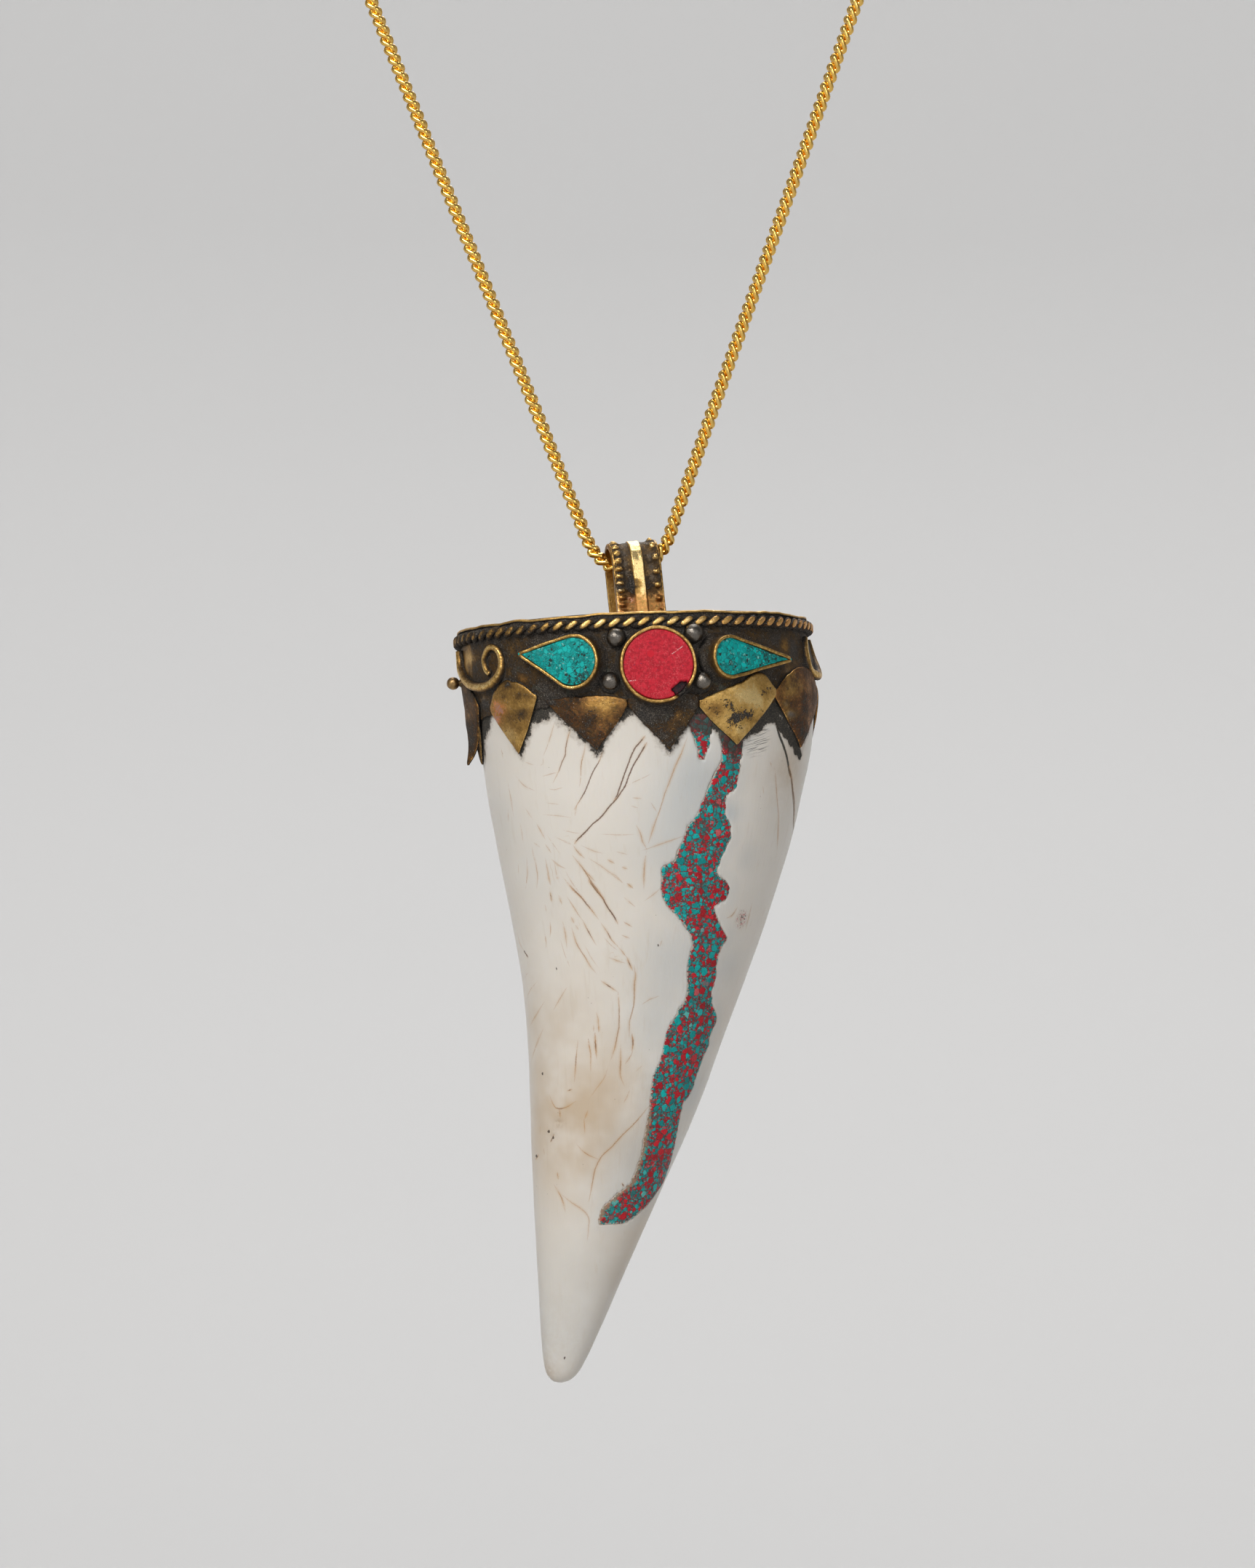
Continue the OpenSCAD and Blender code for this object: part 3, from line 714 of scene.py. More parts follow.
def line_groups(lines):
    """The lines in a few groups, so that lines close to each other are in different ones."""
    groups = [[] for _ in range(LINE_GROUPS)]
    for strength, line in sorted(lines, key=lambda item: -item[0]):
        # Weaker lines run out a little beyond their ends
        tail = min(0.9, 0.2 * np.linalg.norm(line[-1] - line[0])) * (strength < 0.9)
        line = even(np.vstack([line[0] + unit(line[0] - line[1]) * tail, line,
                               line[-1] + unit(line[-1] - line[-2]) * tail]), LINE_STEP)
        room = [min([np.linalg.norm(other[:, None] - line, axis=2).min() for _, other in group],
                    default=FAR) for group in groups]
        free = [k for k, gap in enumerate(room) if gap > REACH]
        groups[free[0] if free else int(np.argmax(room))].append((strength, line))
    return groups


def line_field(points, normals, lines):
    """Signed distance to the nearest line and that line's strength, for each point."""
    nearest = np.full(len(points), REACH)
    side, force = nearest.copy(), 0 * nearest
    for strength, line in lines:
        box = (points > line.min(axis=0) - REACH) & (points < line.max(axis=0) + REACH)
        near = np.where(np.all(box, axis=1))[0]
        if not len(near):
            continue
        p, n = points[near], normals[near]
        along = lengths(line)
        best, sign, place = np.full(len(p), REACH), np.ones(len(p)), np.zeros(len(p))
        for k, d in enumerate(np.diff(line, axis=0)):
            # The first and the last step go on beyond the line's ends
            t = np.clip(((p - line[k]) @ d) / max(d @ d, 1e-9),
                        -9.0 if k == 0 else 0.0, 9.0 if k == len(line) - 2 else 1.0)
            gap = p - line[k] - t[:, None] * d
            distance = np.linalg.norm(gap, axis=1)
            closer = distance < best
            best = np.where(closer, distance, best)
            sign = np.where(closer, np.sign(np.sum(np.cross(d, n) * gap, axis=1)), sign)
            place = np.where(closer, along[k] + t * (along[k + 1] - along[k]), place)
        taper = min(0.7, along[-1] * 0.2) if strength >= 0.9 else min(2.0, along[-1] * 0.45)
        faded = np.clip(np.minimum(place, along[-1] - place) / taper, -1, 1) * strength
        take = (best < nearest[near]) & (place > -0.5) & (place < along[-1] + 0.5)
        chosen = near[take]
        nearest[chosen] = best[take]
        side[chosen] = (best * sign)[take]
        # Points away from every line carry none, so two lines leave no ghost between them
        force[chosen] = np.where(best < FADE_OUT, faded, np.minimum(faded, 0))[take]
    return side, force


def build_horn(outlines, material):
    z, shift, a = even(SHELL_CURVE, HORN_STEP).T[..., None]
    angle = np.radians(HORN_ANGLES)
    grid = beside(shift + a * np.sin(angle), -a * DEPTH_RATIO * np.cos(angle), z)
    flat = grid.reshape(-1, 3)
    shift, a = section(SHELL_CURVE, flat[:, 2])
    normals = unit(beside((flat[:, 0] - shift) / a,
                          flat[:, 1] / np.maximum(a * DEPTH_RATIO ** 2, 0.05), 0))

    lines = [(force, seen(np.reshape(line, (-1, 2)))) for force, *line in SHELL_LINES]
    lines += back_lines(random.Random(SEED))
    fields = [line_field(flat, normals, group) for group in line_groups(lines)]

    margin = np.full(len(flat), 9.0)
    front = (flat[:, 1] < 2) & (flat[:, 2] < -7) & (flat[:, 2] > -60)
    for outline in outlines:
        margin[front] = np.minimum(margin[front], edge_distance(flat[front], outline))
    speck = np.max([0 * a] + [1.6 - radii(flat, *place) for place in SPECKS], axis=0)
    tint = sum(bell(radii(flat, *stain[:3]))[:, None] * stain[3:] for stain in STAINS)
    patches = beside(bell(radii(flat, *SCRATCHES)), bell(radii(flat, *RED_SMUDGE)), 0)
    finish = beside(margin, petal_gap(flat), np.clip(speck, -1, 1))

    # Low, uneven relief of the carved surface, shallow grooves at the cracks, and a pocket
    # that holds the inlay
    relief = wobble(flat, (11, 0.12, 1), (3.2, 0.025, 2))
    relief *= np.clip((-flat[:, 2] - 6) / 4, 0, 1) * np.clip(a / 3, 0.2, 1)
    for side, force in fields:
        relief -= 0.05 * np.clip(force, 0, 1) ** 2 * bell(side / 0.25)
    relief = relief * np.clip(margin, 0, 1) - 0.5 * (margin < -0.12)
    flat = flat + relief[:, None] * normals
    piece = Piece()
    piece.grid(flat.reshape(grid.shape), finish.reshape(grid.shape), capped=True)
    extra = [("tint", np.clip(tint, 0, 1.5)), ("patches", patches)]
    extra += [(f"line_{k}", beside(*field, 0)) for k, field in enumerate(fields)]
    piece.build("horn", "shell", material, extra=extra)


def shell_material():
    m = Paint("polished_shell", Roughness=0.3, Subsurface_Weight=0.2, Subsurface_Scale=0.001,
              Subsurface_Radius=(1.0, 0.75, 0.5), Specular_IOR_Level=0.4)
    cream, blue, brown = m.attribute("tint")
    margin, below, speck = m.attribute("finish")
    scratches, smudge, _ = m.attribute("patches")
    cloud = m.noise(6.5, 3, 0.55)
    fine = m.noise(0.5, 3, 0.6)
    grit = m.noise(0.16, 2, 0.6)
    growth = m.noise(1.0, 3, 0.6, where=m.place(scale=(1.6, 1.6, 0.09)))
    base = m.coats(
        m.mix(cloud, (0.78, 0.74, 0.68), (0.68, 0.635, 0.57)),
        (cream * cloud.step(0.2, 0.65) * 0.75, (0.56, 0.45, 0.33)),
        (blue.most(margin.step(2.0, 0.2) * 0.35) * 0.7, (0.5, 0.525, 0.53)),
        (growth.step(0.56, 0.72) * 0.12, (0.5, 0.38, 0.25)))

    # Each group of lines: a soft tan halo, then the line, darker where it is stronger
    wander = grit.centred(0.11)
    gaps = fine.step(0.32, 0.46)
    for k in range(LINE_GROUPS):
        side, force, _ = m.attribute(f"line_{k}")
        distance = (side + wander).absolute()
        halo = distance.step(0.3, 0.03) * force.step(0.1, 0.5) * cloud.step(0.3, 0.7) * 0.42
        mask = (0.004 + force.most(0.0) * 0.052 - distance).step(-0.06, 0.05)
        broken = gaps.most(force.step(0.2, 0.7))
        dark = force.scaled(0.1, 0.9, 0.45, 0.97)
        ink = m.coats(m.mix(force.step(0.45, 0.9), (0.44, 0.21, 0.065), (0.15, 0.072, 0.04)),
                      (force.step(1.1, 1.5), (0.16, 0.08, 0.025)),
                      (force.step(1.95, 2.2), (0.012, 0.014, 0.01)))
        base = m.coats(base, (halo, (0.54, 0.34, 0.16)),
                       (mask * force.step(0.03, 0.15) * broken * dark, ink))

    dot, pick = m.dots(1.1)
    rim = margin + fine.centred(0.25)
    grime_and_shade = below + m.noise(0.9, 3, 0.6).centred(1.6) + fine.centred(1.3) + grit.centred(0.8)
    grimy_and_shaded = grime_and_shade.step(0.5, 0.06)
    speckled = m.mix(m.noise(0.12, 4, 0.7).step(0.46, 0.66), (0.01, 0.01, 0.008), (0.085, 0.07, 0.05))
    strokes = m.noise(0.08, 2, 0.5, where=m.place(scale=(0.04, 0.04, 1), turn=(0, 20, 0)))
    red = smudge.step(0.25, 0.8) * m.noise(0.22, 3, 0.6).step(0.5, 0.6)
    black = smudge.step(0.2, 0.7) * m.noise(0.3, 4, 0.7).step(0.54, 0.6)
    base = m.coats(
        base,
        ((speck + grit * 0.5).step(0.75, 0.95) * 0.9, (0.05, 0.03, 0.02)),
        (brown * fine.step(0.3, 0.6), (0.34, 0.22, 0.12)),
        (dot.step(0.05, 0.03) * pick.step(0.62, 0.66) * 0.6, (0.2, 0.13, 0.08)),
        # Thin dirty line along the inlay, and grime with painted shade under the petals' edge
        (rim.step(0.14, 0.0) * cloud.step(0.3, 0.7) * 0.5, (0.3, 0.2, 0.13)),
        (grime_and_shade.step(1.3, 0.1) * 0.5, (0.2, 0.14, 0.09)),
        (grimy_and_shaded * 0.96, speckled),
        # Fine black scratches beside a petal, and a smudge with traces of red
        (strokes.step(0.53, 0.61) * scratches.step(0.2, 0.7) * 0.75, (0.04, 0.035, 0.03)),
        (red * 0.7, (0.5, 0.09, 0.1)),
        (black * 0.8, (0.08, 0.07, 0.06)))
    rough = 0.24 + cloud * 0.14 + grimy_and_shaded * 0.5
    relief = growth * 0.6 + cloud + grimy_and_shaded * fine * 3.0
    return m.finish(base, relief, 0.05, Roughness=rough, Subsurface_Weight=(1.0 - grimy_and_shaded) * 0.2)


def inlay_material():
    """Crushed stone: large chips of two colours in a mass of small ones and dark matrix."""
    m = Paint("crushed_inlay", Roughness=0.4, Specular_IOR_Level=0.3)
    inside, tan, below = m.attribute("finish")
    where = m.bend(m.bend(m.place(), 0.9, 1.0, 0.12), 0.2, 2.0, 0.13)

    def chips(size, seed):
        moved = m.node("Mapping", "Vector", Vector=where, Location=(seed, seed * 1.7, -seed))
        kind, tone, pick, middle = m.cells(size, moved)
        # Far corners of a cell are cut off, which leaves a rounded chip
        edge = m.cell_edge(size, moved).least((0.7 - middle) * 0.55)
        teal = m.coats(m.mix(tone, (0.0, 0.21, 0.21), (0.0, 0.5, 0.48)),
                       (tone.step(0.94, 0.96), (0.11, 0.5, 0.46)))
        red = m.coats(m.mix(tone, (0.34, 0.004, 0.012), (0.7, 0.014, 0.028)),
                      (tone.step(0.08, 0.05), (0.6, 0.1, 0.11)))
        return m.mix(kind.step(TEAL_SHARE - 0.01, TEAL_SHARE + 0.01), teal, red), pick, edge

    big, pick, edge = chips(0.52, 1.3)
    middle, middle_pick, middle_edge = chips(0.3, 6.1)
    small, small_pick, small_edge = chips(0.13, 11.7)
    some_middle, some_big = middle_pick.step(0.66, 0.64), pick.step(0.4, 0.38)
    is_middle = some_middle * middle_edge.step(0.03, 0.11)
    is_big = some_big * edge.step(0.03, 0.08)
    gap = (0.05, 0.045, 0.045)
    colour = m.coats(
        m.mix(0.22, small, (0.12, 0.09, 0.09)),
        (small_pick.step(0.7, 0.74), m.mix(m.noise(0.09), (0.03, 0.035, 0.035), (0.22, 0.14, 0.13))),
        (small_edge.step(0.08, 0.0) * 0.6, (0.04, 0.028, 0.028)),
        (some_middle * middle_edge.step(0.0, 0.04) * 0.4, gap),
        (is_middle, middle),
        (some_big * edge.step(0.0, 0.03) * 0.45, gap),
        (is_big, big))
    mottle = m.noise(0.12, 4, 0.75).step(0.45, 0.68)
    colour = m.mix(mottle * 0.6, colour, (0.5, 0.5, 0.5), blend="MULTIPLY")
    pale, pale_pick = m.dots(0.42)
    filler = m.mix(m.noise(0.2, 3), (0.2, 0.13, 0.08), (0.42, 0.3, 0.2))
    ragged = inside + m.noise(0.26, 3, 0.6).centred(0.9)
    # Grime with painted shade, darker towards the petals' edge above
    grime_and_shade = below + m.noise(0.3, 4, 0.65).centred(4.5)
    colour = m.coats(
        colour,
        (pale.step(0.065, 0.03) * pale_pick.step(0.66, 0.7) * 0.6, (0.5, 0.48, 0.45)),
        (m.noise(2.4, 3, 0.6).step(0.5, 0.72) * m.noise(0.2, 3, 0.6).step(0.4, 0.6) * 0.7,
         (0.07, 0.045, 0.04)),
        ((tan + m.noise(0.35, 3).centred(0.9)).step(0.5, 0.75) * 0.85, filler),
        (ragged.step(0.1, 0.06) * 0.85, (0.5, 0.43, 0.36)),
        (grime_and_shade.step(1.75, 0.9) * 0.88, (0.045, 0.037, 0.03)))
    height = is_big * 0.5 + is_middle * 0.3
    return m.finish(colour, height, 0.06, Roughness=height.scaled(0.0, 1.0, 0.5, 0.26))


# Brass cap

PLATE_TOP = 0.95
PLATE_BOTTOM = 0.62
# From the middle of the top over the lip to the middle of the underside: share of the radius,
# and 1 on top or 0 underneath
PLATE_PROFILE = [
    (0.0005, 1), (0.12, 1), (0.25, 1), (0.4, 1), (0.55, 1), (0.68, 1), (0.8, 1), (0.88, 1),
    (0.94, 1), (0.975, 1), (0.992, 0.9), (1.0, 0.62), (1.0, 0.36), (0.992, 0.08),
    (0.975, 0), (0.93, 0), (0.8, 0), (0.4, 0), (0.0005, 0)]
LIP_OVERHANG = 0.3
# The rope and the lip above it hang lower in front
FRONT_SAG = 0.27
COLLAR_BOTTOM = -7.7
COLLAR_SIDES = 380
STAND = 0.75
# Patches of the front's metal: place and radius in the photograph, then the change of tone,
# of wear (less than nothing is grime) and of redness
METAL_MARKS = [
    (686, 976, 9, 0.25, 0.2, 1.35), (683, 991, 6, 0.2, 0.2, 1.3), (681, 966, 4, 0.2, 0, 0.6),
    (717, 982, 8, -0.25, -0.2, -0.1), (712, 957, 5, -0.2, -0.2, 0), (702, 1010, 9, 0.15, 0, -0.2),
    (690, 955, 9, -0.1, 0, 0), (727, 970, 7, 0.1, 0, 0), (698, 940, 6, -0.2, -0.6, 0),
    (835, 967, 17, 0.3, 0, -0.3), (812, 968, 10, 0.12, 0, -0.2), (757, 963, 10, -0.2, -0.9, 0),
    (785, 985, 16, -0.08, -0.15, 0.2), (826, 1012, 12, -0.05, -0.2, 0.2),
    (885, 985, 16, -0.18, -0.7, 0), (912, 978, 18, -0.18, -0.5, 0), (945, 985, 14, 0.08, -0.1, -0.1),
    (905, 1012, 10, 0.02, 0, 0.3), (1009, 989, 12, -0.05, -0.75, 0), (1027, 982, 9, 0, -0.65, 0),
    (1040, 970, 6, 0, -0.4, 0), (1003, 970, 7, -0.1, -0.55, 0), (1030, 955, 18, 0.3, 0.3, 0),
    (985, 975, 10, -0.1, -0.3, 0.1), (1052, 950, 8, -0.05, -0.5, 0), (1015, 1008, 10, 0.12, 0, 0),
    (1040, 965, 10, 0.1, 0, 0), (1088, 945, 14, 0.25, 0, -0.6), (1083, 925, 8, 0.2, 0, -0.5),
    (1100, 1003, 18, -0.12, 0, 0), (1086, 982, 6, 0.15, 0.3, -1.3), (1080, 968, 5, 0.1, 0.2, -0.9),
    (647, 906, 9, 0.35, 0, 0), (640, 925, 6, 0.15, 0, 0), (718, 932, 7, 0.3, 0.2, 0.3),
    (700, 925, 7, 0.12, 0, 0), (1078, 890, 8, 0.25, 0, 0.1), (745, 945, 9, -0.05, -0.6, 0),
    (872, 804, 9, -0.3, -0.9, 0), (866, 822, 8, 0, -0.2, 0.4), (851, 808, 6, 0.1, -0.3, -0.8),
    (664, 963, 5, 0.3, 0, -0.8), (668, 968, 7, 0, -0.9, 0),
    (857, 762, 5, 0.1, -0.1, -0.8), (859, 775, 5, 0.1, -0.1, -0.8), (861, 788, 6, 0.12, -0.1, -0.8),
    (893, 765, 5, 0.1, -0.1, -0.8), (895, 779, 5, 0.1, -0.1, -0.8), (897, 794, 6, 0.1, -0.1, -0.7),
    (1093, 983, 6, 0.06, -0.1, -0.55), (1106, 962, 14, -0.08, -0.1, 0.12),
    (1104, 1002, 16, -0.06, -0.1, 0.15)]


def stand(z):
    """How far the collar's face stands off the horn, running out below it."""
    return np.interp(-z, [4.2, 6.2, 9.6], [STAND, 0.5, 0.08])


def spot(xy, x, y, radius):
    """1 at a place, falling smoothly to 0 round it."""
    return bell(np.hypot(xy[..., 0] - x, xy[..., 1] - y) / radius)


def marked(points, finish):
    """The finish of points on the metal with the front's patches laid over it."""
    ray = to_row(points) / MM - camera_place
    scale = CAMERA_DISTANCE / (ray @ look) / MM_PER_PIXEL
    place = beside(PHOTO_WIDTH / 2 + (ray @ camera_right) * scale,
                   PHOTO_HEIGHT / 2 - (ray @ camera_up) * scale)
    change = sum(spot(place, *mark[:3])[..., None] * mark[3:] for mark in METAL_MARKS)
    return finish + change * (points[..., 1:2] < 3)


def build_collar(material):
    angles = np.arange(COLLAR_SIDES) * 360 / COLLAR_SIDES
    angle, z = np.meshgrid(angles, np.linspace(0.75, COLLAR_BOTTOM, 32))
    # The sheet ends in a crusty edge a little below the valleys between the petals
    low = np.interp(np.where(angles > PETAL_EDGE[-1, 0], angles - 360, angles), *PETAL_EDGE.T)
    ragged = wobble(beside(angles * 0.28, 0, 0), (0.9, 0.45, 4))
    share = np.clip((-z - 5.5) / (-COLLAR_BOTTOM - 5.5), 0, 1)
    z = z + share * (ragged + np.minimum(0, low + 8.6) * 0.12)
    flat = on(SHELL_CURVE, angle, z)
    dents = wobble(flat, (2.2, 0.08, 6), (0.6, 0.06, 8))
    outer = on(SHELL_CURVE, angle, z, stand(z) - 0.09 + dents)
    inner = on(SHELL_CURVE, angle, z, 0.06)
    tone = 0.27 + wobble(flat, (2.5, 0.15, 11)) + 0.22 * (np.abs(angle - 268) < 14)
    finish = marked(outer, beside(tone, -0.25, 0))
    piece = Piece()
    piece.grid(np.vstack([outer, inner[::-1]]), np.vstack([finish, 0 * finish]), wrap_rows=True)
    piece.build("cap_collar", "cap", material)


def build_plate(material):
    angle = full_turn(COLLAR_SIDES)
    reach = COLLAR_ROWS[0][2] + LIP_OVERHANG
    around = beside(np.cos(angle), np.sin(angle), 0)
    wave = (wobble(around * 16, (3.0, 0.18, 21), (1.1, 0.07, 22))
            - 0.7 * FRONT_SAG * np.maximum(np.cos(angle), 0))
    out = wobble(around * 16, (2.0, 0.12, 23), (0.8, 0.05, 24))
    rings, marks = [], []
    for share, top in PLATE_PROFILE:
        r = share * reach + out * max(0.0, share - 0.9) * 10
        z = PLATE_BOTTOM + (PLATE_TOP - PLATE_BOTTOM) * top + wave * max(0.0, share - 0.75) * 4
        if 0.01 < share < 0.9 and top == 1:
            z = z + wobble(around * r[:, None], (4, 0.06, 25))
        rings.append(beside(r * np.sin(angle), -DEPTH_RATIO * r * np.cos(angle), z))
        wear = 1.0 if 0.985 < share and 0.2 < top < 0.95 else 0.0
        # Painted shade: the underside gets a darker tone than the top
        marks.append(beside(0.42 if top == 1 else 0.2, wear, 0 * angle))
    piece = Piece()
    piece.grid(np.array(rings)[::-1], np.array(marks)[::-1], capped=True)
    piece.build("cap_plate", "cap", material)


# Petals: left corner, point and right corner in degrees, the heights of the three, heights of
# the top edge at even shares from left to right, lift of the point, tone, redness
PETALS = [
    (-101, -89, -79, -7.0, -12.0, -7.2, (-6.2, -5.6, -5.4, -5.8, -6.8), 0.0, 0.42, -0.1),
    (-103, -92, -77, -6.4, -12.0, -6.8, (-5.2, -4.2, -4.0, -4.6, -6.4), 1.35, 0.38, 0.3),
    (-68.5, -56.8, -44.6, -7.5, -11.7, -6.7, (-7.0, -5.5, -4.75, -5.2, -6.5), 0.15, 0.64, 0.0),
    (-41, -24.8, -13.4, -7.25, -12.0, -8.0, (-7.05, -6.95, -6.95, -7.0, -7.5), 0.1, 0.36, 0.35),
    (-13.2, 0, 10, -8.1, -12.3, -8.3, (-7.4, -7.0, -6.9, -6.9, -7.3), 0.1, 0.31, 0.15),
    (10.3, 24.3, 41, -8.4, -12, -7.1, (-7.8, -6.9, -6.1, -5.1, -6.7), 0.15, 0.76, 0.0),
    (40.2, 59.6, 75, -7.4, -12, -7.2, (-6.9, -5.0, -4.3, -4.6, -6.6), 0.02, 0.42, 0.5),
    (84, 96, 109, -7.2, -12.1, -7.2, (-6.6, -5.2, -4.8, -5.2, -6.6), 0.0, 0.45, 0.3),
    (109, 122, 136, -7.3, -12.2, -7.3, (-6.7, -5.4, -4.9, -5.3, -6.7), 0.1, 0.55, 0.1),
    (136, 150, 165, -7.3, -12.3, -7.3, (-6.7, -5.2, -4.8, -5.4, -6.7), 0.05, 0.35, 0.3),
    (165, 181, 196, -7.3, -12.1, -7.3, (-6.7, -5.4, -5.0, -5.2, -6.7), 0.1, 0.6, 0.05),
    (196, 210, 228, -7.3, -12.2, -7.2, (-6.7, -5.2, -4.8, -5.2, -6.6), 0.05, 0.4, 0.25),
    (228, 243, 258, -7.1, -12.1, -7.1, (-6.5, -5.1, -4.7, -5.3, -6.5), 0.1, 0.5, 0.2)]
PETAL_WALL = 0.26


def build_petals(material):
    piece = Piece()
    share = np.linspace(0, 1, 52)
    fall = np.linspace(0, 1, 40)[:, None]
    for number, petal in enumerate(PETALS):
        left, point, right, left_z, point_z, right_z, tops, lift, tone, red = petal
        angle = left + share * (right - left)
        mid = (point - left) / (right - left)
        down = np.where(share < mid, share / mid, (1 - share) / (1 - mid))
        corner = np.where(share < mid, left_z, right_z)
        bow = 0.35 * np.sin(np.pi * down)
        bottom = corner + (point_z - corner) * down - bow * (1 - down)
        top = np.interp(share, *spline([(k * 0.25, t) for k, t in enumerate(tops)], 16).T)
        shake = wobble(beside(angle * 0.28, number * 7, 0), (0.7, 0.12, 31))
        top = np.maximum(top + shake, bottom + 0.25)
        z = top + (bottom - top) * fall
        flat = on(SHELL_CURVE, angle, z)
        dents = wobble(flat, (3.0, 0.1, 33 + number), (0.7, 0.02, 34))
        z_share = np.clip((top - z) / np.maximum(top - point_z, 0.1), 0, 1)
        from_edge = np.minimum(np.minimum(top - z, (z - bottom) * 0.72),
                               np.minimum(share, 1 - share) * 6)
        from_edge = np.maximum(from_edge, 0)
        dome = 0.16 * np.sin(np.pi * share) * np.sin(np.pi * fall)
        inner = stand(z) + dome * 0.6 + dents + lift * (down * z_share) ** 2
        outer = inner + PETAL_WALL - 0.1 * np.exp(-from_edge / 0.12)
        face = on(SHELL_CURVE, angle, z, outer)
        back = on(SHELL_CURVE, angle, z, inner)
        wear = 0.75 * np.exp(-from_edge / 0.14)
        tones = tone + wobble(flat, (1.8, 0.175, 40 + number))
        finish = marked(face, beside(tones, wear - 0.2, red))
        piece.grid(np.vstack([face, back[::-1]]).transpose(1, 0, 2),
                   np.vstack([finish, finish[::-1] * 0.5]).transpose(1, 0, 2), capped=True)
    piece.build("cap_petals", "cap", material)


ROPE_TWISTS = 39
ROPE_HELIX = 0.3
STRAND_R = 0.3
ROPE_STAND = 0.62
RUBBED_FLAT = 0.5


def build_rope(material):
    piece = Piece()
    steps = ROPE_TWISTS * 20
    t = np.arange(steps) * 360 / steps
    middle = on(COLLAR_CURVE, t, 0, ROPE_STAND - STAND + 0.35)
    out = on(COLLAR_CURVE, t, 0, 1) - on(COLLAR_CURVE, t, 0)
    sag = wobble(middle, (5, 0.06, 51)) - FRONT_SAG * np.maximum(np.cos(np.radians(t)), 0)
    for strand in range(2):
        phase = np.radians(t * ROPE_TWISTS) + math.pi * strand
        centre = middle + out * (ROPE_HELIX * np.cos(phase))[:, None]
        centre[:, 2] += ROPE_HELIX * np.sin(phase) + sag
        ring = tube(centre, *squared(out, ring_heads(centre)), STRAND_R, 12)
        # The outermost metal is rubbed flat and bright
        reach = np.einsum("ijk,ik->ij", ring - middle[:, None], out)
        ring = ring - (np.maximum(reach - RUBBED_FLAT, 0) * 0.85)[..., None] * out[:, None]
        dull = 1 - 0.45 * np.clip((340 - t) / 20, 0, 1) * (t > 180)
        wear = np.clip((reach - 0.36) / 0.12, 0, 1) * dull[:, None]
        copper = np.clip((t - 5) / 40, 0, 1) * (t < 90) * 0.5
        finish = beside(0.14 + 0.25 * np.clip(reach, 0, 1), wear, copper[:, None])
        piece.grid(ring, finish, wrap_rows=True)
    piece.build("cap_rope", "cap", material)


BAIL_INNER_R = 2.15
BAIL_WALL = 0.5
BAIL_HALF = 2.35


def build_bail(material):
    # The inner line goes up the front leg, over the top and down the back leg
    foot = PLATE_TOP - 0.2 - BAIL_PLACE[2]
    arc = np.linspace(0, math.pi, 62)
    up = np.linspace(foot, 0, 46, endpoint=False)
    down = np.linspace(0, foot, 46)[1:]
    a = np.hstack([0 * up, arc, 0 * down + math.pi])
    normals = beside(0, -np.cos(a), np.where(np.sin(a) > 1e-12, np.sin(a), 0))
    inner = BAIL_INNER_R * normals
    inner[:, 2] += np.hstack([up, 0 * arc, down])
    along = lengths(inner)[:, None] * 1.12
    width = np.hstack([-BAIL_HALF, -BAIL_HALF + 0.06, np.linspace(-2.2, 2.2, 61),
                       BAIL_HALF - 0.06, BAIL_HALF])
    x = np.abs(width)
    # A raised band in the middle, beads on both sides, and bars and rims at the edges
    band = 0.17 * np.clip((0.6 - np.abs(width - 0.08)) / 0.1, 0, 1)
    beat = np.cos(along / 0.78 * 2 * math.pi)
    left = bell((width + 1.8) / 0.33) * (0.5 + 0.5 * beat) ** 0.7
    slow = np.maximum(0.0, np.cos(along / 1.45 * 2 * math.pi + 0.6))
    right = bell((width - 1.8) / 0.32) * slow ** 0.8
    bar = 0.45 * bell((x - 2.08) / 0.09)
    rim = 0.12 * np.clip((x - 2.0) / 0.12, 0, 1)
    beads = 0.36 * np.maximum(left ** 0.8, np.maximum(right, bar))
    relief = np.maximum(np.maximum(band, beads), rim)
    bevel = 0.08 * np.clip((x - (BAIL_HALF - 0.07)) / 0.07, 0, 1)
    spots = beside(width, inner[:, 1:2] * 1.3, inner[:, 2:] * 1.3)
    height = (BAIL_WALL - 0.12 + relief - bevel
              + wobble(spots, (0.45, 0.04, 61), (1.2, 0.04, 62)))
    back = inner[:, None] + beside(width, 0, 0)
    front = back + height[..., None] * normals[:, None]
    lower = np.clip((-inner[:, 2:] - 2.2) / 1.2, 0, 1)
    bright = 1 - lower
    tone = 0.3 + 0.44 * (band > 0.1) * (0.5 + 0.5 * bright) + 0.26 * lower
    wear = np.clip((relief - 0.1) / 0.08, 0, 1) * (0.4 + 0.6 * bright)
    face = beside(tone, np.where(x > 2.15, 0.7, wear) - 0.1, 0.5 * lower)
    marks = np.concatenate([face, np.broadcast_to((0.78, 0, 0), face.shape)], axis=1)
    rings = np.concatenate([front, back[:, ::-1]], axis=1)
    rings = rings @ rotation("Y", -BAIL_LEAN).T + BAIL_PLACE
    piece = Piece()
    piece.grid(rings, marked(rings, marks), capped=True)
    piece.build("cap_bail", "cap", material)


CORAL_R = 3.65
BEZEL_WALL = 0.34
POINT_R = 0.25
# Outside foot, wall, rounded rim and inside wall: distance from the outline, height
BEZEL_PROFILE = [
    (0.5, -0.9), (0.34, -0.35), (0.14, 0.0), (0.03, 0.3), (0.0, 0.7), (-0.01, 1.08),
    (-0.04, 1.2), (-0.1, 1.25), (-0.23, 1.25), (-0.3, 1.2), (-0.34, 1.1), (-0.36, 0.5), (-0.36, -0.9)]


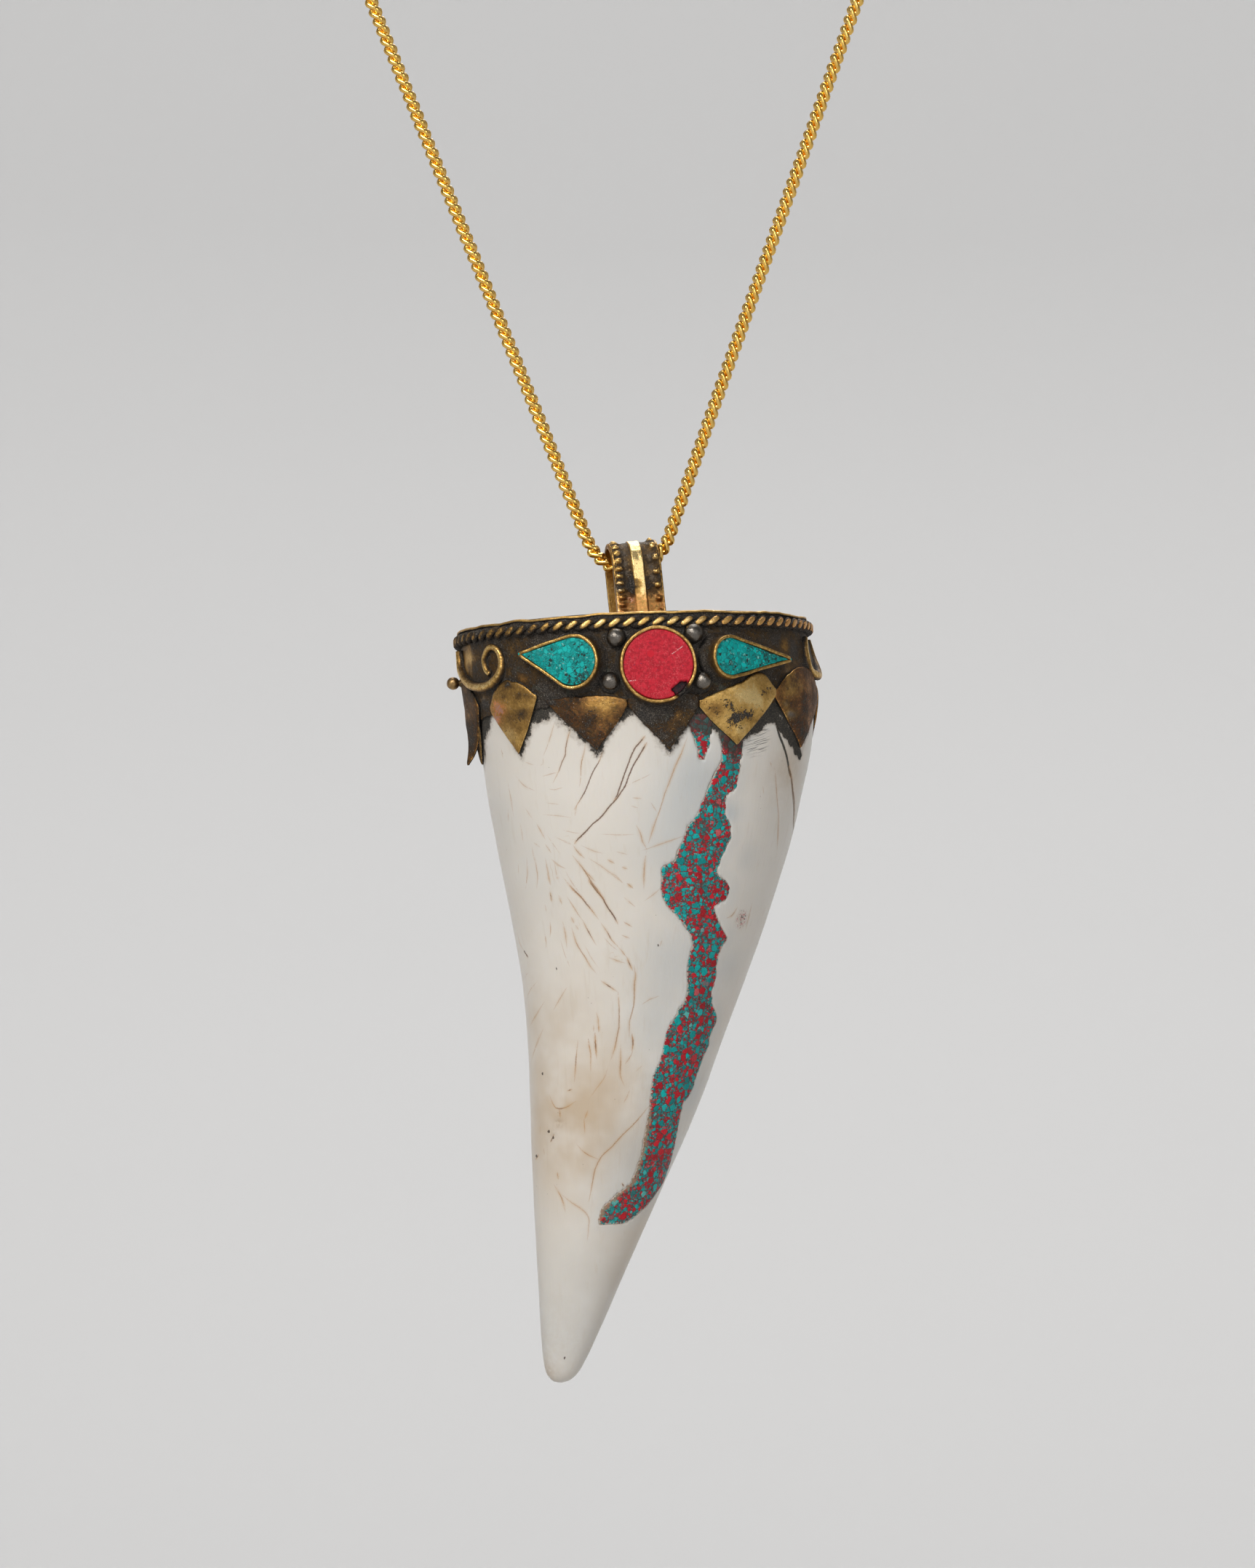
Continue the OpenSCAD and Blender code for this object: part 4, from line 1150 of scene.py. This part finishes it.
def drop_outline(radius, place, length, way):
    """Closed outline of a teardrop with even points, anticlockwise: radius of its round end,
    that end's place, length to the point and direction of the point."""
    tip = length - POINT_R
    lean = math.asin((radius - POINT_R) / tip)
    big = np.linspace(math.pi / 2 - lean, 1.5 * math.pi + lean, 60)
    small = np.linspace(-math.pi / 2 + lean, math.pi / 2 - lean, 10)
    points = np.vstack([radius * beside(np.cos(big), np.sin(big)),
                        POINT_R * beside(np.cos(small), np.sin(small)) + (tip, 0)])
    points = even(np.vstack([points, points[:1]]), 0.12)[:-1]
    a = math.radians(way)
    return points @ np.array(((math.cos(a), math.sin(a)), (-math.sin(a), math.cos(a)))) + place


def round_outline():
    a = full_turn(190)
    return CORAL_R * beside(np.cos(a), np.sin(a))


def outline_normals(outline):
    d = ring_heads(outline)
    return unit(beside(d[:, 1], -d[:, 0]))


def from_tip(outline):
    """Distance of an outline's points from the one that is farthest from its middle."""
    tip = outline[np.argmax(np.linalg.norm(outline - outline.mean(axis=0), axis=1))]
    return np.linalg.norm(outline - tip, axis=1)


# Place on the collar and outline: coral, left turquoise and right turquoise
BEZELS = [((-2.3, -4.4), round_outline()), ((-34, -3.7), drop_outline(2.6, (1.7, 0), 5.7, 168)),
          ((31, -3.8), drop_outline(2.1, (-3.1, 0), 7.3, -1))]


def build_bezels(material):
    piece = Piece()
    for number, (place, outline) in enumerate(BEZELS):
        normals = outline_normals(outline)
        x, y = outline.T
        spots = beside(x, y, 9 * number)
        uneven = wobble(spots, (2.2, 0.07, 71), (0.7, 0.025, 72))
        rise = wobble(spots, (2.0, 0.05, 73), (0.5, 0.02, 74))
        # The round one is broken at one place, and the others are low at their points
        gone = 0 * x if number else np.exp(-(np.hypot(x - 2.3, y + 2.72) / 0.66) ** 4)
        dip = 0.3 * bell(from_tip(outline) / 0.3) if number else 0.8 * gone
        rings, marks = [], []
        for off, h in BEZEL_PROFILE:
            xy = outline + normals * (off + uneven * (1 if h > 0.2 else 0.3))[:, None]
            rings.append(from_collar(place, beside(*xy.T, h + (rise - dip) * (h > 0.9))))
            wear = 0.42 if h > 1.15 else 0.2 if h > 1.0 else -0.3
            tone = np.interp(h, [-0.3, 0.3, 1.0, 1.2], [0.14, 0.26, 0.45, 0.62])
            marks.append(beside(tone + (0.05 - tone) * gone, wear + (-1 - wear) * gone, 0))
        piece.grid(np.array(rings), np.array(marks), wrap_rows=True)
    piece.build("cap_bezels", "cap", material)


LEFT_SCROLL = [
    (-93, -0.9), (-92, -2.3), (-86, -3.6), (-79, -4.5), (-73, -4.9), (-66, -5), (-62, -4.7),
    (-58.8, -4.1), (-57.4, -3.2), (-57.8, -2.2), (-59.8, -1.55), (-62.4, -1.4), (-65.2, -1.85),
    (-66.9, -2.6), (-66.4, -3.4), (-64.4, -3.9)]
RIGHT_SCROLL = [(92, -0.9), (91, -2.3), (86, -3.6), (80, -4.5), (74, -4.8), (68, -4.6),
                (64, -3.6), (64.5, -2.4), (67, -1.3)]
# A degree round the collar, and a millimetre up it, in millimetres
SCROLL_SCALE = (0.29, 1)
# Granules: angle, height, radius, how far the middle stands off the collar
GRAINS = [(-14.1, -1.65, 0.92, 0.5), (10.6, -1.5, 0.95, 0.5), (-17.7, -5.7, 0.86, 0.45),
          (11.3, -6, 0.86, 0.45), (-95, -3.9, 0.62, 1.12)]


def build_scrolls(material):
    piece = Piece()
    for places in (LEFT_SCROLL, RIGHT_SCROLL):
        angle, z = (even(spline(places, 10) * SCROLL_SCALE, 0.12) / SCROLL_SCALE).T
        share = np.linspace(0, 1, len(z))
        thick = np.interp(share, [0, 0.1, 0.62, 0.75, 1], [0.38, 0.46, 0.45, 0.36, 0.3])
        deep = np.interp(share, [0, 0.6, 0.7, 0.8, 1], [0.24, 0.3, 0.08, 0.18, 0.12])
        path = on(COLLAR_CURVE, angle, z, deep)
        out = on(COLLAR_CURVE, angle, z, 1) - on(COLLAR_CURVE, angle, z)
        up, across = squared(out, np.gradient(path, axis=0))
        rings = tube(path, across, up, thick, 14)
        reach = np.einsum("ijk,ik->ij", rings - path[:, None], out) / thick[:, None]
        wear = np.clip((reach - 0.45) / 0.45, 0, 1) * 0.6
        piece.grid(rings, beside(0.3 + 0.3 * np.clip(reach, 0, 1), wear, 0), capped=True)
    piece.build("cap_scrolls", "cap", material)


def build_grains(material):
    piece = Piece()
    turn = full_turn(32)
    for angle, z, radius, off in GRAINS:
        # The ball stands in a skirt of solder that spreads over the collar
        low = math.asin(np.clip((0.12 - off) / radius, -0.9, 0.9))
        a = np.linspace(low, math.pi / 2 * 0.985, 15)
        r = radius * np.hstack([1.5, 1.22, 1.0, np.cos(a)])[:, None]
        h = np.hstack([-0.35, -0.05, 0.08, off + radius * np.sin(a)])[:, None]
        points = from_collar((angle, z), beside(r * np.cos(turn), r * np.sin(turn), h))
        points = points + wobble(points, (0.5, 0.035, 81))[..., None]
        finish = beside(np.where(h > 0.3, 0.62, 0.2), 0, -0.3 if angle < -90 else -1)
        piece.grid(points, finish, capped=True)
    piece.build("cap_grains", "cap", material)


def near_line(xy, a, b, width):
    """1 on a straight line between two ends, falling to 0 at its width."""
    a, b = np.array(a), np.array(b)
    t = np.clip(((xy - a) @ (b - a)) / ((b - a) @ (b - a)), 0, 1)
    return bell(np.linalg.norm(xy - a - t[..., None] * (b - a), axis=-1) / width)


def stone(name, node, slot, place, outline, material, seed):
    """A stone that fills its bezel, a little domed and ground uneven."""
    gap = np.full(len(outline), BEZEL_WALL + 0.015)
    if slot != "coral":
        gap -= 0.3 * bell(from_tip(outline) / 0.7)
    inset = outline - outline_normals(outline) * gap[:, None]
    middle = inset.mean(axis=0)
    share = np.hstack([1.0, 1.0, 0.988, np.linspace(0.96, 0.02, 40)])[:, None]
    xy = middle + (inset - middle) * share[..., None]
    x, y = xy[..., 0], xy[..., 1]
    h = 1.07 + 0.1 * (1 - share ** 2) + wobble(beside(x, y, seed), (1.6, 0.035, seed),
                                               (0.4, 0.012, seed + 1))
    h[0] = 0.4
    h[1] -= 0.05
    rings = beside(x, y, h)
    if slot == "coral":
        around = np.minimum(np.hypot(x - 2.25, y + 2.55), np.hypot(x - 1.55, y + 2.35) + 0.55)
        ragged = wobble(rings, (0.5, 0.2, 5), (0.2, 0.1, 6))
        bite = np.clip((0.92 - around + ragged) / 0.12, 0, 1)
        rings[..., 2] -= bite * 0.5
        scratch = np.maximum(near_line(xy, (1.3, 0.9), (2.4, 1.6), 0.05),
                             near_line(xy, (-3.0, -1.5), (-2.2, -1.45), 0.05))
        finish = beside(bite, scratch, spot(xy, -0.7, 1.0, 0.42))
    elif node == "turquoise_left":
        finish = beside(1.6 * spot(xy, 2.4, -1.6, 1.0), spot(xy, -3.6, 0.25, 0.28), 0)
    else:
        finish = beside(1.2 * spot(xy, 1.2, 0.9, 1.5) + 0.8 * spot(xy, -3.0, -0.6, 0.8), 0, 0)
    piece = Piece()
    piece.grid(from_collar(place, rings), finish, capped=True)
    piece.build(name, node, material)


# Chain and clasp

# Right half of the chain in millimetres, from the clasp to the middle of the bail: across, up
CHAIN_ROUTE = [
    (4.5, 1.3), (14.6, -0.5), (23.9, -3.8), (32.4, -8.8), (40, -15.1), (46.3, -22.6),
    (51.2, -31.2), (54.6, -40.4), (56.3, -50.1), (56.3, -60), (54.8, -68.7), (52.9, -74.8),
    (41.3, -106), (30.1, -136), (18.9, -166), (9.5, -191), (5.8, -201), (4.5, -204.5),
    (4, -205.9), (3.7, -206.5), (3.3, -207.2), (2.8, -207.8), (2.5, -208.1), (2, -208.5),
    (1, -208.9), (0, -209)]
# A link's half length, half width and twist, its wire's radius and its roll about the strand
LINK_PITCH = 1.0
LINK_A = 0.735
LINK_B = 0.33
LINK_C = 0.36
LINK_WIRE = 0.285
LINK_ROLL = -72
# Half of the clasp from its end to its middle: radius, distance from the middle
CLASP_PROFILE = [
    (0.02, 4.5), (0.75, 4.5), (0.95, 4.42), (1.05, 4.2), (1.1, 3.9), (1.24, 3.8), (1.3, 3.6),
    (1.24, 3.4), (1.12, 3.3), (1.12, 1.2), (1.24, 1.1), (1.3, 0.9), (1.24, 0.7), (1.12, 0.6),
    (1.12, 0.1), (1.02, 0.04)]
CLASP_HEIGHT = 1.3


def build_chain(name, node, side, material):
    route = spline(CHAIN_ROUTE, 8)
    along = lengths(route)
    count = int(round(along[-1] / LINK_PITCH))
    a = full_turn(24)
    loop = beside(LINK_A * np.cos(a), LINK_B * np.sin(a), -side * LINK_C * np.sin(2 * a))
    wire = tube(loop, *squared(loop * (1, 1, 0), ring_heads(loop)), LINK_WIRE, 8)
    forward = np.array((0, 1.0, 0))

    def at(s):
        return np.array([np.interp(s, along, route[:, 0]), 0, np.interp(s, along, route[:, 1])])

    rng = random.Random(SEED + side)
    piece = Piece()
    for k in range(count):
        s = (k + 0.5) * along[-1] / count
        head = unit(at(s + 0.3) - at(s - 0.3))
        roll = math.radians(LINK_ROLL + rng.uniform(-4, 4))
        across = np.cross(head, forward) * math.cos(roll) + forward * math.sin(roll)
        tilt = rng.uniform(-0.03, 0.03)
        points = wire @ np.array((head + tilt * across, across, np.cross(head, across))) + at(s)
        points[..., 0] *= side
        piece.grid(points if side > 0 else points[:, ::-1], wrap_rows=True)
    piece.build(name, node, material, body="chain")


def build_clasp(material):
    """Plain closed barrel with ribs at its ends and in its middle."""
    r, x = np.array(CLASP_PROFILE + [(r, -x) for r, x in CLASP_PROFILE[::-1]]).T[..., None]
    a = full_turn(48)
    piece = Piece()
    piece.grid(beside(x, r * np.cos(a), CLASP_HEIGHT + r * np.sin(a)), capped=True)
    piece.build("clasp_barrel", "clasp", material, body="chain")


# The brass from its darkest patina to its brightest wear
BRASS_TONES = [
    (0.0, (0.013, 0.012, 0.011)), (0.22, (0.036, 0.027, 0.019)), (0.42, (0.15, 0.09, 0.038)),
    (0.62, (0.41, 0.235, 0.068)), (0.82, (0.72, 0.45, 0.14)), (1.0, (0.95, 0.69, 0.3))]


def metal_material():
    m = Paint("worn_brass", Specular_IOR_Level=0.35)
    tone, wear, red = m.attribute("finish")
    cloud = m.noise(1.7, 3, 0.55)
    blotches = m.noise(0.8, 6, 0.72)
    patch = blotches * 0.6 + m.noise(0.3, 5, 0.7) * 0.4
    fine = m.noise(0.24, 3, 0.65)
    grit = m.noise(0.07, 2, 0.6)
    shade = m.node("AmbientOcclusion", "AO", {"samples": 6}, Distance=0.9 * MM).step(0.25, 0.85)

    def streaks(size, stretch, turn, low, high):
        where = m.place(scale=(stretch, 1, 1), turn=(0, *turn))
        return m.noise(size, 1, 0.5, where=where).step(low, high)

    level = (tone + cloud.centred(0.5) + fine.centred(0.32) + patch.centred(0.7)
             + (wear + fine.centred(0.6)).step(0.3, 0.85) * 0.55 - (1.0 - shade) * 0.36)
    for turn in ((25, 0), (-50, 7)):
        level = level + streaks(0.09, 0.06, turn, 0.66, 0.72) * patch.step(0.4, 0.6) * 0.14
    # Grime with crisp, ragged borders, and pits
    spread = m.noise(0.2, 4, 0.8, where=m.place(scale=(0.6, 0.6, 1), turn=(0, 25, 0)))
    grime = blotches * 0.45 + spread * 0.55 + wear.least(0.0) * -0.22 + grit.centred(0.12)
    pit, pit_pick = m.dots(0.42)
    pits = pit.step(0.07, 0.03) * pit_pick.step(0.6, 0.64)
    level = m.node("Mix", 0, i0=grime.step(0.62, 0.67) * 0.9, i2=level - pits * 0.25, i3=0.04)
    colour = m.node("ValToRGB", 0, i0=level)
    stops = colour.socket.node.color_ramp.elements
    for position, brass_tone in BRASS_TONES:
        stop = stops[0] if position == 0 else stops[-1] if position == 1 else stops.new(position)
        stop.color = (*brass_tone, 1)

    redness = red.most(0.0).least(1.0) * fine.step(0.3, 0.6) * level.step(0.15, 0.3)
    copper = (red + m.noise(0.4, 5, 0.7).centred(5.0)).step(0.95, 1.1) * red.step(0.6, 0.8)
    silver = (red * -1.0).most(0.0)
    verdigris = m.noise(1.3, 4, 0.6).step(0.6, 0.7) * level.step(0.45, 0.2) * 0.5
    dot, dot_pick = m.dots(0.27)
    dust = (dot.step(0.05, 0.02) * dot_pick.step(0.5, 0.54) * 0.8).most(
        grit.step(0.6, 0.72) * shade.step(0.9, 0.4) * 0.4)
    crust = level.step(0.44, 0.14)
    powder = m.noise(0.13, 4, 0.75)
    colour = m.coats(
        colour,
        (redness, m.mix(1.0, colour, (1.15, 0.66, 0.72), blend="MULTIPLY")),
        (copper, m.mix(fine, (0.5, 0.22, 0.14), (0.75, 0.42, 0.3))),
        (silver, m.mix(level.step(0.08, 0.9), (0.02, 0.019, 0.018), (0.25, 0.225, 0.195))),
        (verdigris, (0.07, 0.085, 0.065)),
        (powder.step(0.46, 0.64) * crust * 0.75, (0.15, 0.125, 0.1)),
        *[(streaks(0.06, 0.05, turn, 0.7, 0.76) * crust * 0.45, (0.3, 0.27, 0.23))
          for turn in ((38, 3), (-70, 11))],
        (dust, (0.36, 0.33, 0.28)))
    rough = level.scaled(0.1, 0.95, 0.66, 0.28) + grit.centred(0.16) - silver * 0.12
    lumps = (m.noise(0.32, 5, 0.75) + powder * 0.5) * crust * 2.2
    height = fine * 0.6 + grit * 0.4 + lumps - pits * 0.5
    return m.finish(colour, height, 0.05, Roughness=rough,
                    Metallic=level.step(0.06, 0.36) * (1.0 - dust))


def gold_material():
    m = Paint("gold_plate", Metallic=1.0)
    colour = m.mix(m.noise(3.0), (0.98, 0.58, 0.12), (1.0, 0.66, 0.19))
    return m.finish(colour, m.noise(0.2), 0.01, Roughness=m.noise(0.3).scaled(0.3, 0.7, 0.14, 0.26))


def turquoise_material():
    m = Paint("crushed_turquoise", Roughness=0.42, Specular_IOR_Level=0.25)
    matrix, red_chip, _ = m.attribute("finish")
    where = m.bend(m.place(), 0.22, 2.0, 0.16)
    tone, pick, _, _ = m.cells(0.36, where)
    small_tone, small_pick, _, _ = m.cells(0.18, where)
    whole = pick.step(0.56, 0.58)
    little = m.coats(m.mix(small_tone, (0.0, 0.19, 0.18), (0.004, 0.46, 0.43)),
                     ((small_pick + matrix * 0.12).step(0.94, 0.97), (0.02, 0.04, 0.035)),
                     (small_pick.step(0.1, 0.06), (0.16, 0.55, 0.5)))
    edges = (m.cell_edge(0.36, where) * 0.4).least(m.cell_edge(0.18, where) * 0.19 + whole)
    patchy = m.noise(0.5, 4, 0.7).step(0.48, 0.62)
    cracks = ((patchy * 0.7 + matrix) * 0.02 - edges).step(-0.004, 0.012)
    blot = m.noise(0.3, 4, 0.65) + matrix * 0.1
    colour = m.coats(
        little,
        (whole, m.mix(tone, (0.0, 0.24, 0.225), (0.002, 0.47, 0.44))),
        (edges.step(0.02, 0.0) * 0.35, (0.0, 0.12, 0.11)),
        ((cracks * 0.8).most(blot.step(0.65, 0.69) * 0.85), (0.014, 0.03, 0.028)),
        (red_chip.step(0.45, 0.55), (0.34, 0.02, 0.06)))
    return m.finish(colour, edges.step(0.0, 0.04), 0.03)


def coral_material():
    m = Paint("crushed_coral", Roughness=0.45, Specular_IOR_Level=0.25)
    bite, scratch, chip = m.attribute("finish")
    grain = m.noise(0.13, 3, 0.7)
    clump = m.noise(1.0, 4, 0.65).step(0.42, 0.62)
    dot, pick = m.dots(0.75)
    speck, speck_pick = m.dots(0.5)
    colour = m.coats(
        m.mix(m.noise(0.34, 4, 0.7).step(0.35, 0.65), (0.4, 0.004, 0.016), (0.64, 0.016, 0.036)),
        (grain.step(0.5, 0.66) * clump * 0.55, (0.74, 0.16, 0.17)),
        (grain.step(0.46, 0.34) * 0.6, (0.3, 0.003, 0.018)),
        (dot.step(0.2, 0.17) * pick.step(0.6, 0.62) * 0.7, (0.6, 0.012, 0.03)),
        (speck.step(0.07, 0.04) * speck_pick.step(0.62, 0.66) * 0.75, (0.12, 0.02, 0.07)),
        (chip.step(0.45, 0.6), (0.6, 0.006, 0.022)),
        (scratch.step(0.4, 0.6) * grain.step(0.4, 0.55), (0.75, 0.42, 0.42)),
        (bite.step(0.3, 0.8), m.mix(grain.step(0.5, 0.6), (0.012, 0.006, 0.007), (0.09, 0.008, 0.02))))
    return m.finish(colour, m.noise(0.2, 3), 0.04)


add_camera()
add_stage()
brass = metal_material()
gold = gold_material()
inlay_paint = inlay_material()
turquoise = turquoise_material()
strip = inlay_surface(STRIP_LEFT, STRIP_RIGHT, 44, 2.0)
tongue = inlay_surface(TONGUE_LEFT, TONGUE_RIGHT, 18, 4.0)
build_horn([strip[2], tongue[2]], shell_material())
build_inlay("inlay_strip", "inlay", *strip, inlay_paint)
build_inlay("inlay_tongue_fill", "inlay_tongue", *tongue, inlay_paint)
for build_part in (build_collar, build_plate, build_petals, build_rope, build_bail, build_bezels,
                   build_scrolls, build_grains):
    build_part(brass)
stone("coral_stone", "coral_centre", "coral", *BEZELS[0], coral_material(), 91)
stone("turquoise_left_stone", "turquoise_left", "turquoise", *BEZELS[1], turquoise, 92)
stone("turquoise_right_stone", "turquoise_right", "turquoise", *BEZELS[2], turquoise, 93)
build_chain("chain_links_left", "chain_left", -1, gold)
build_chain("chain_links_right", "chain_right", 1, gold)
build_clasp(gold)
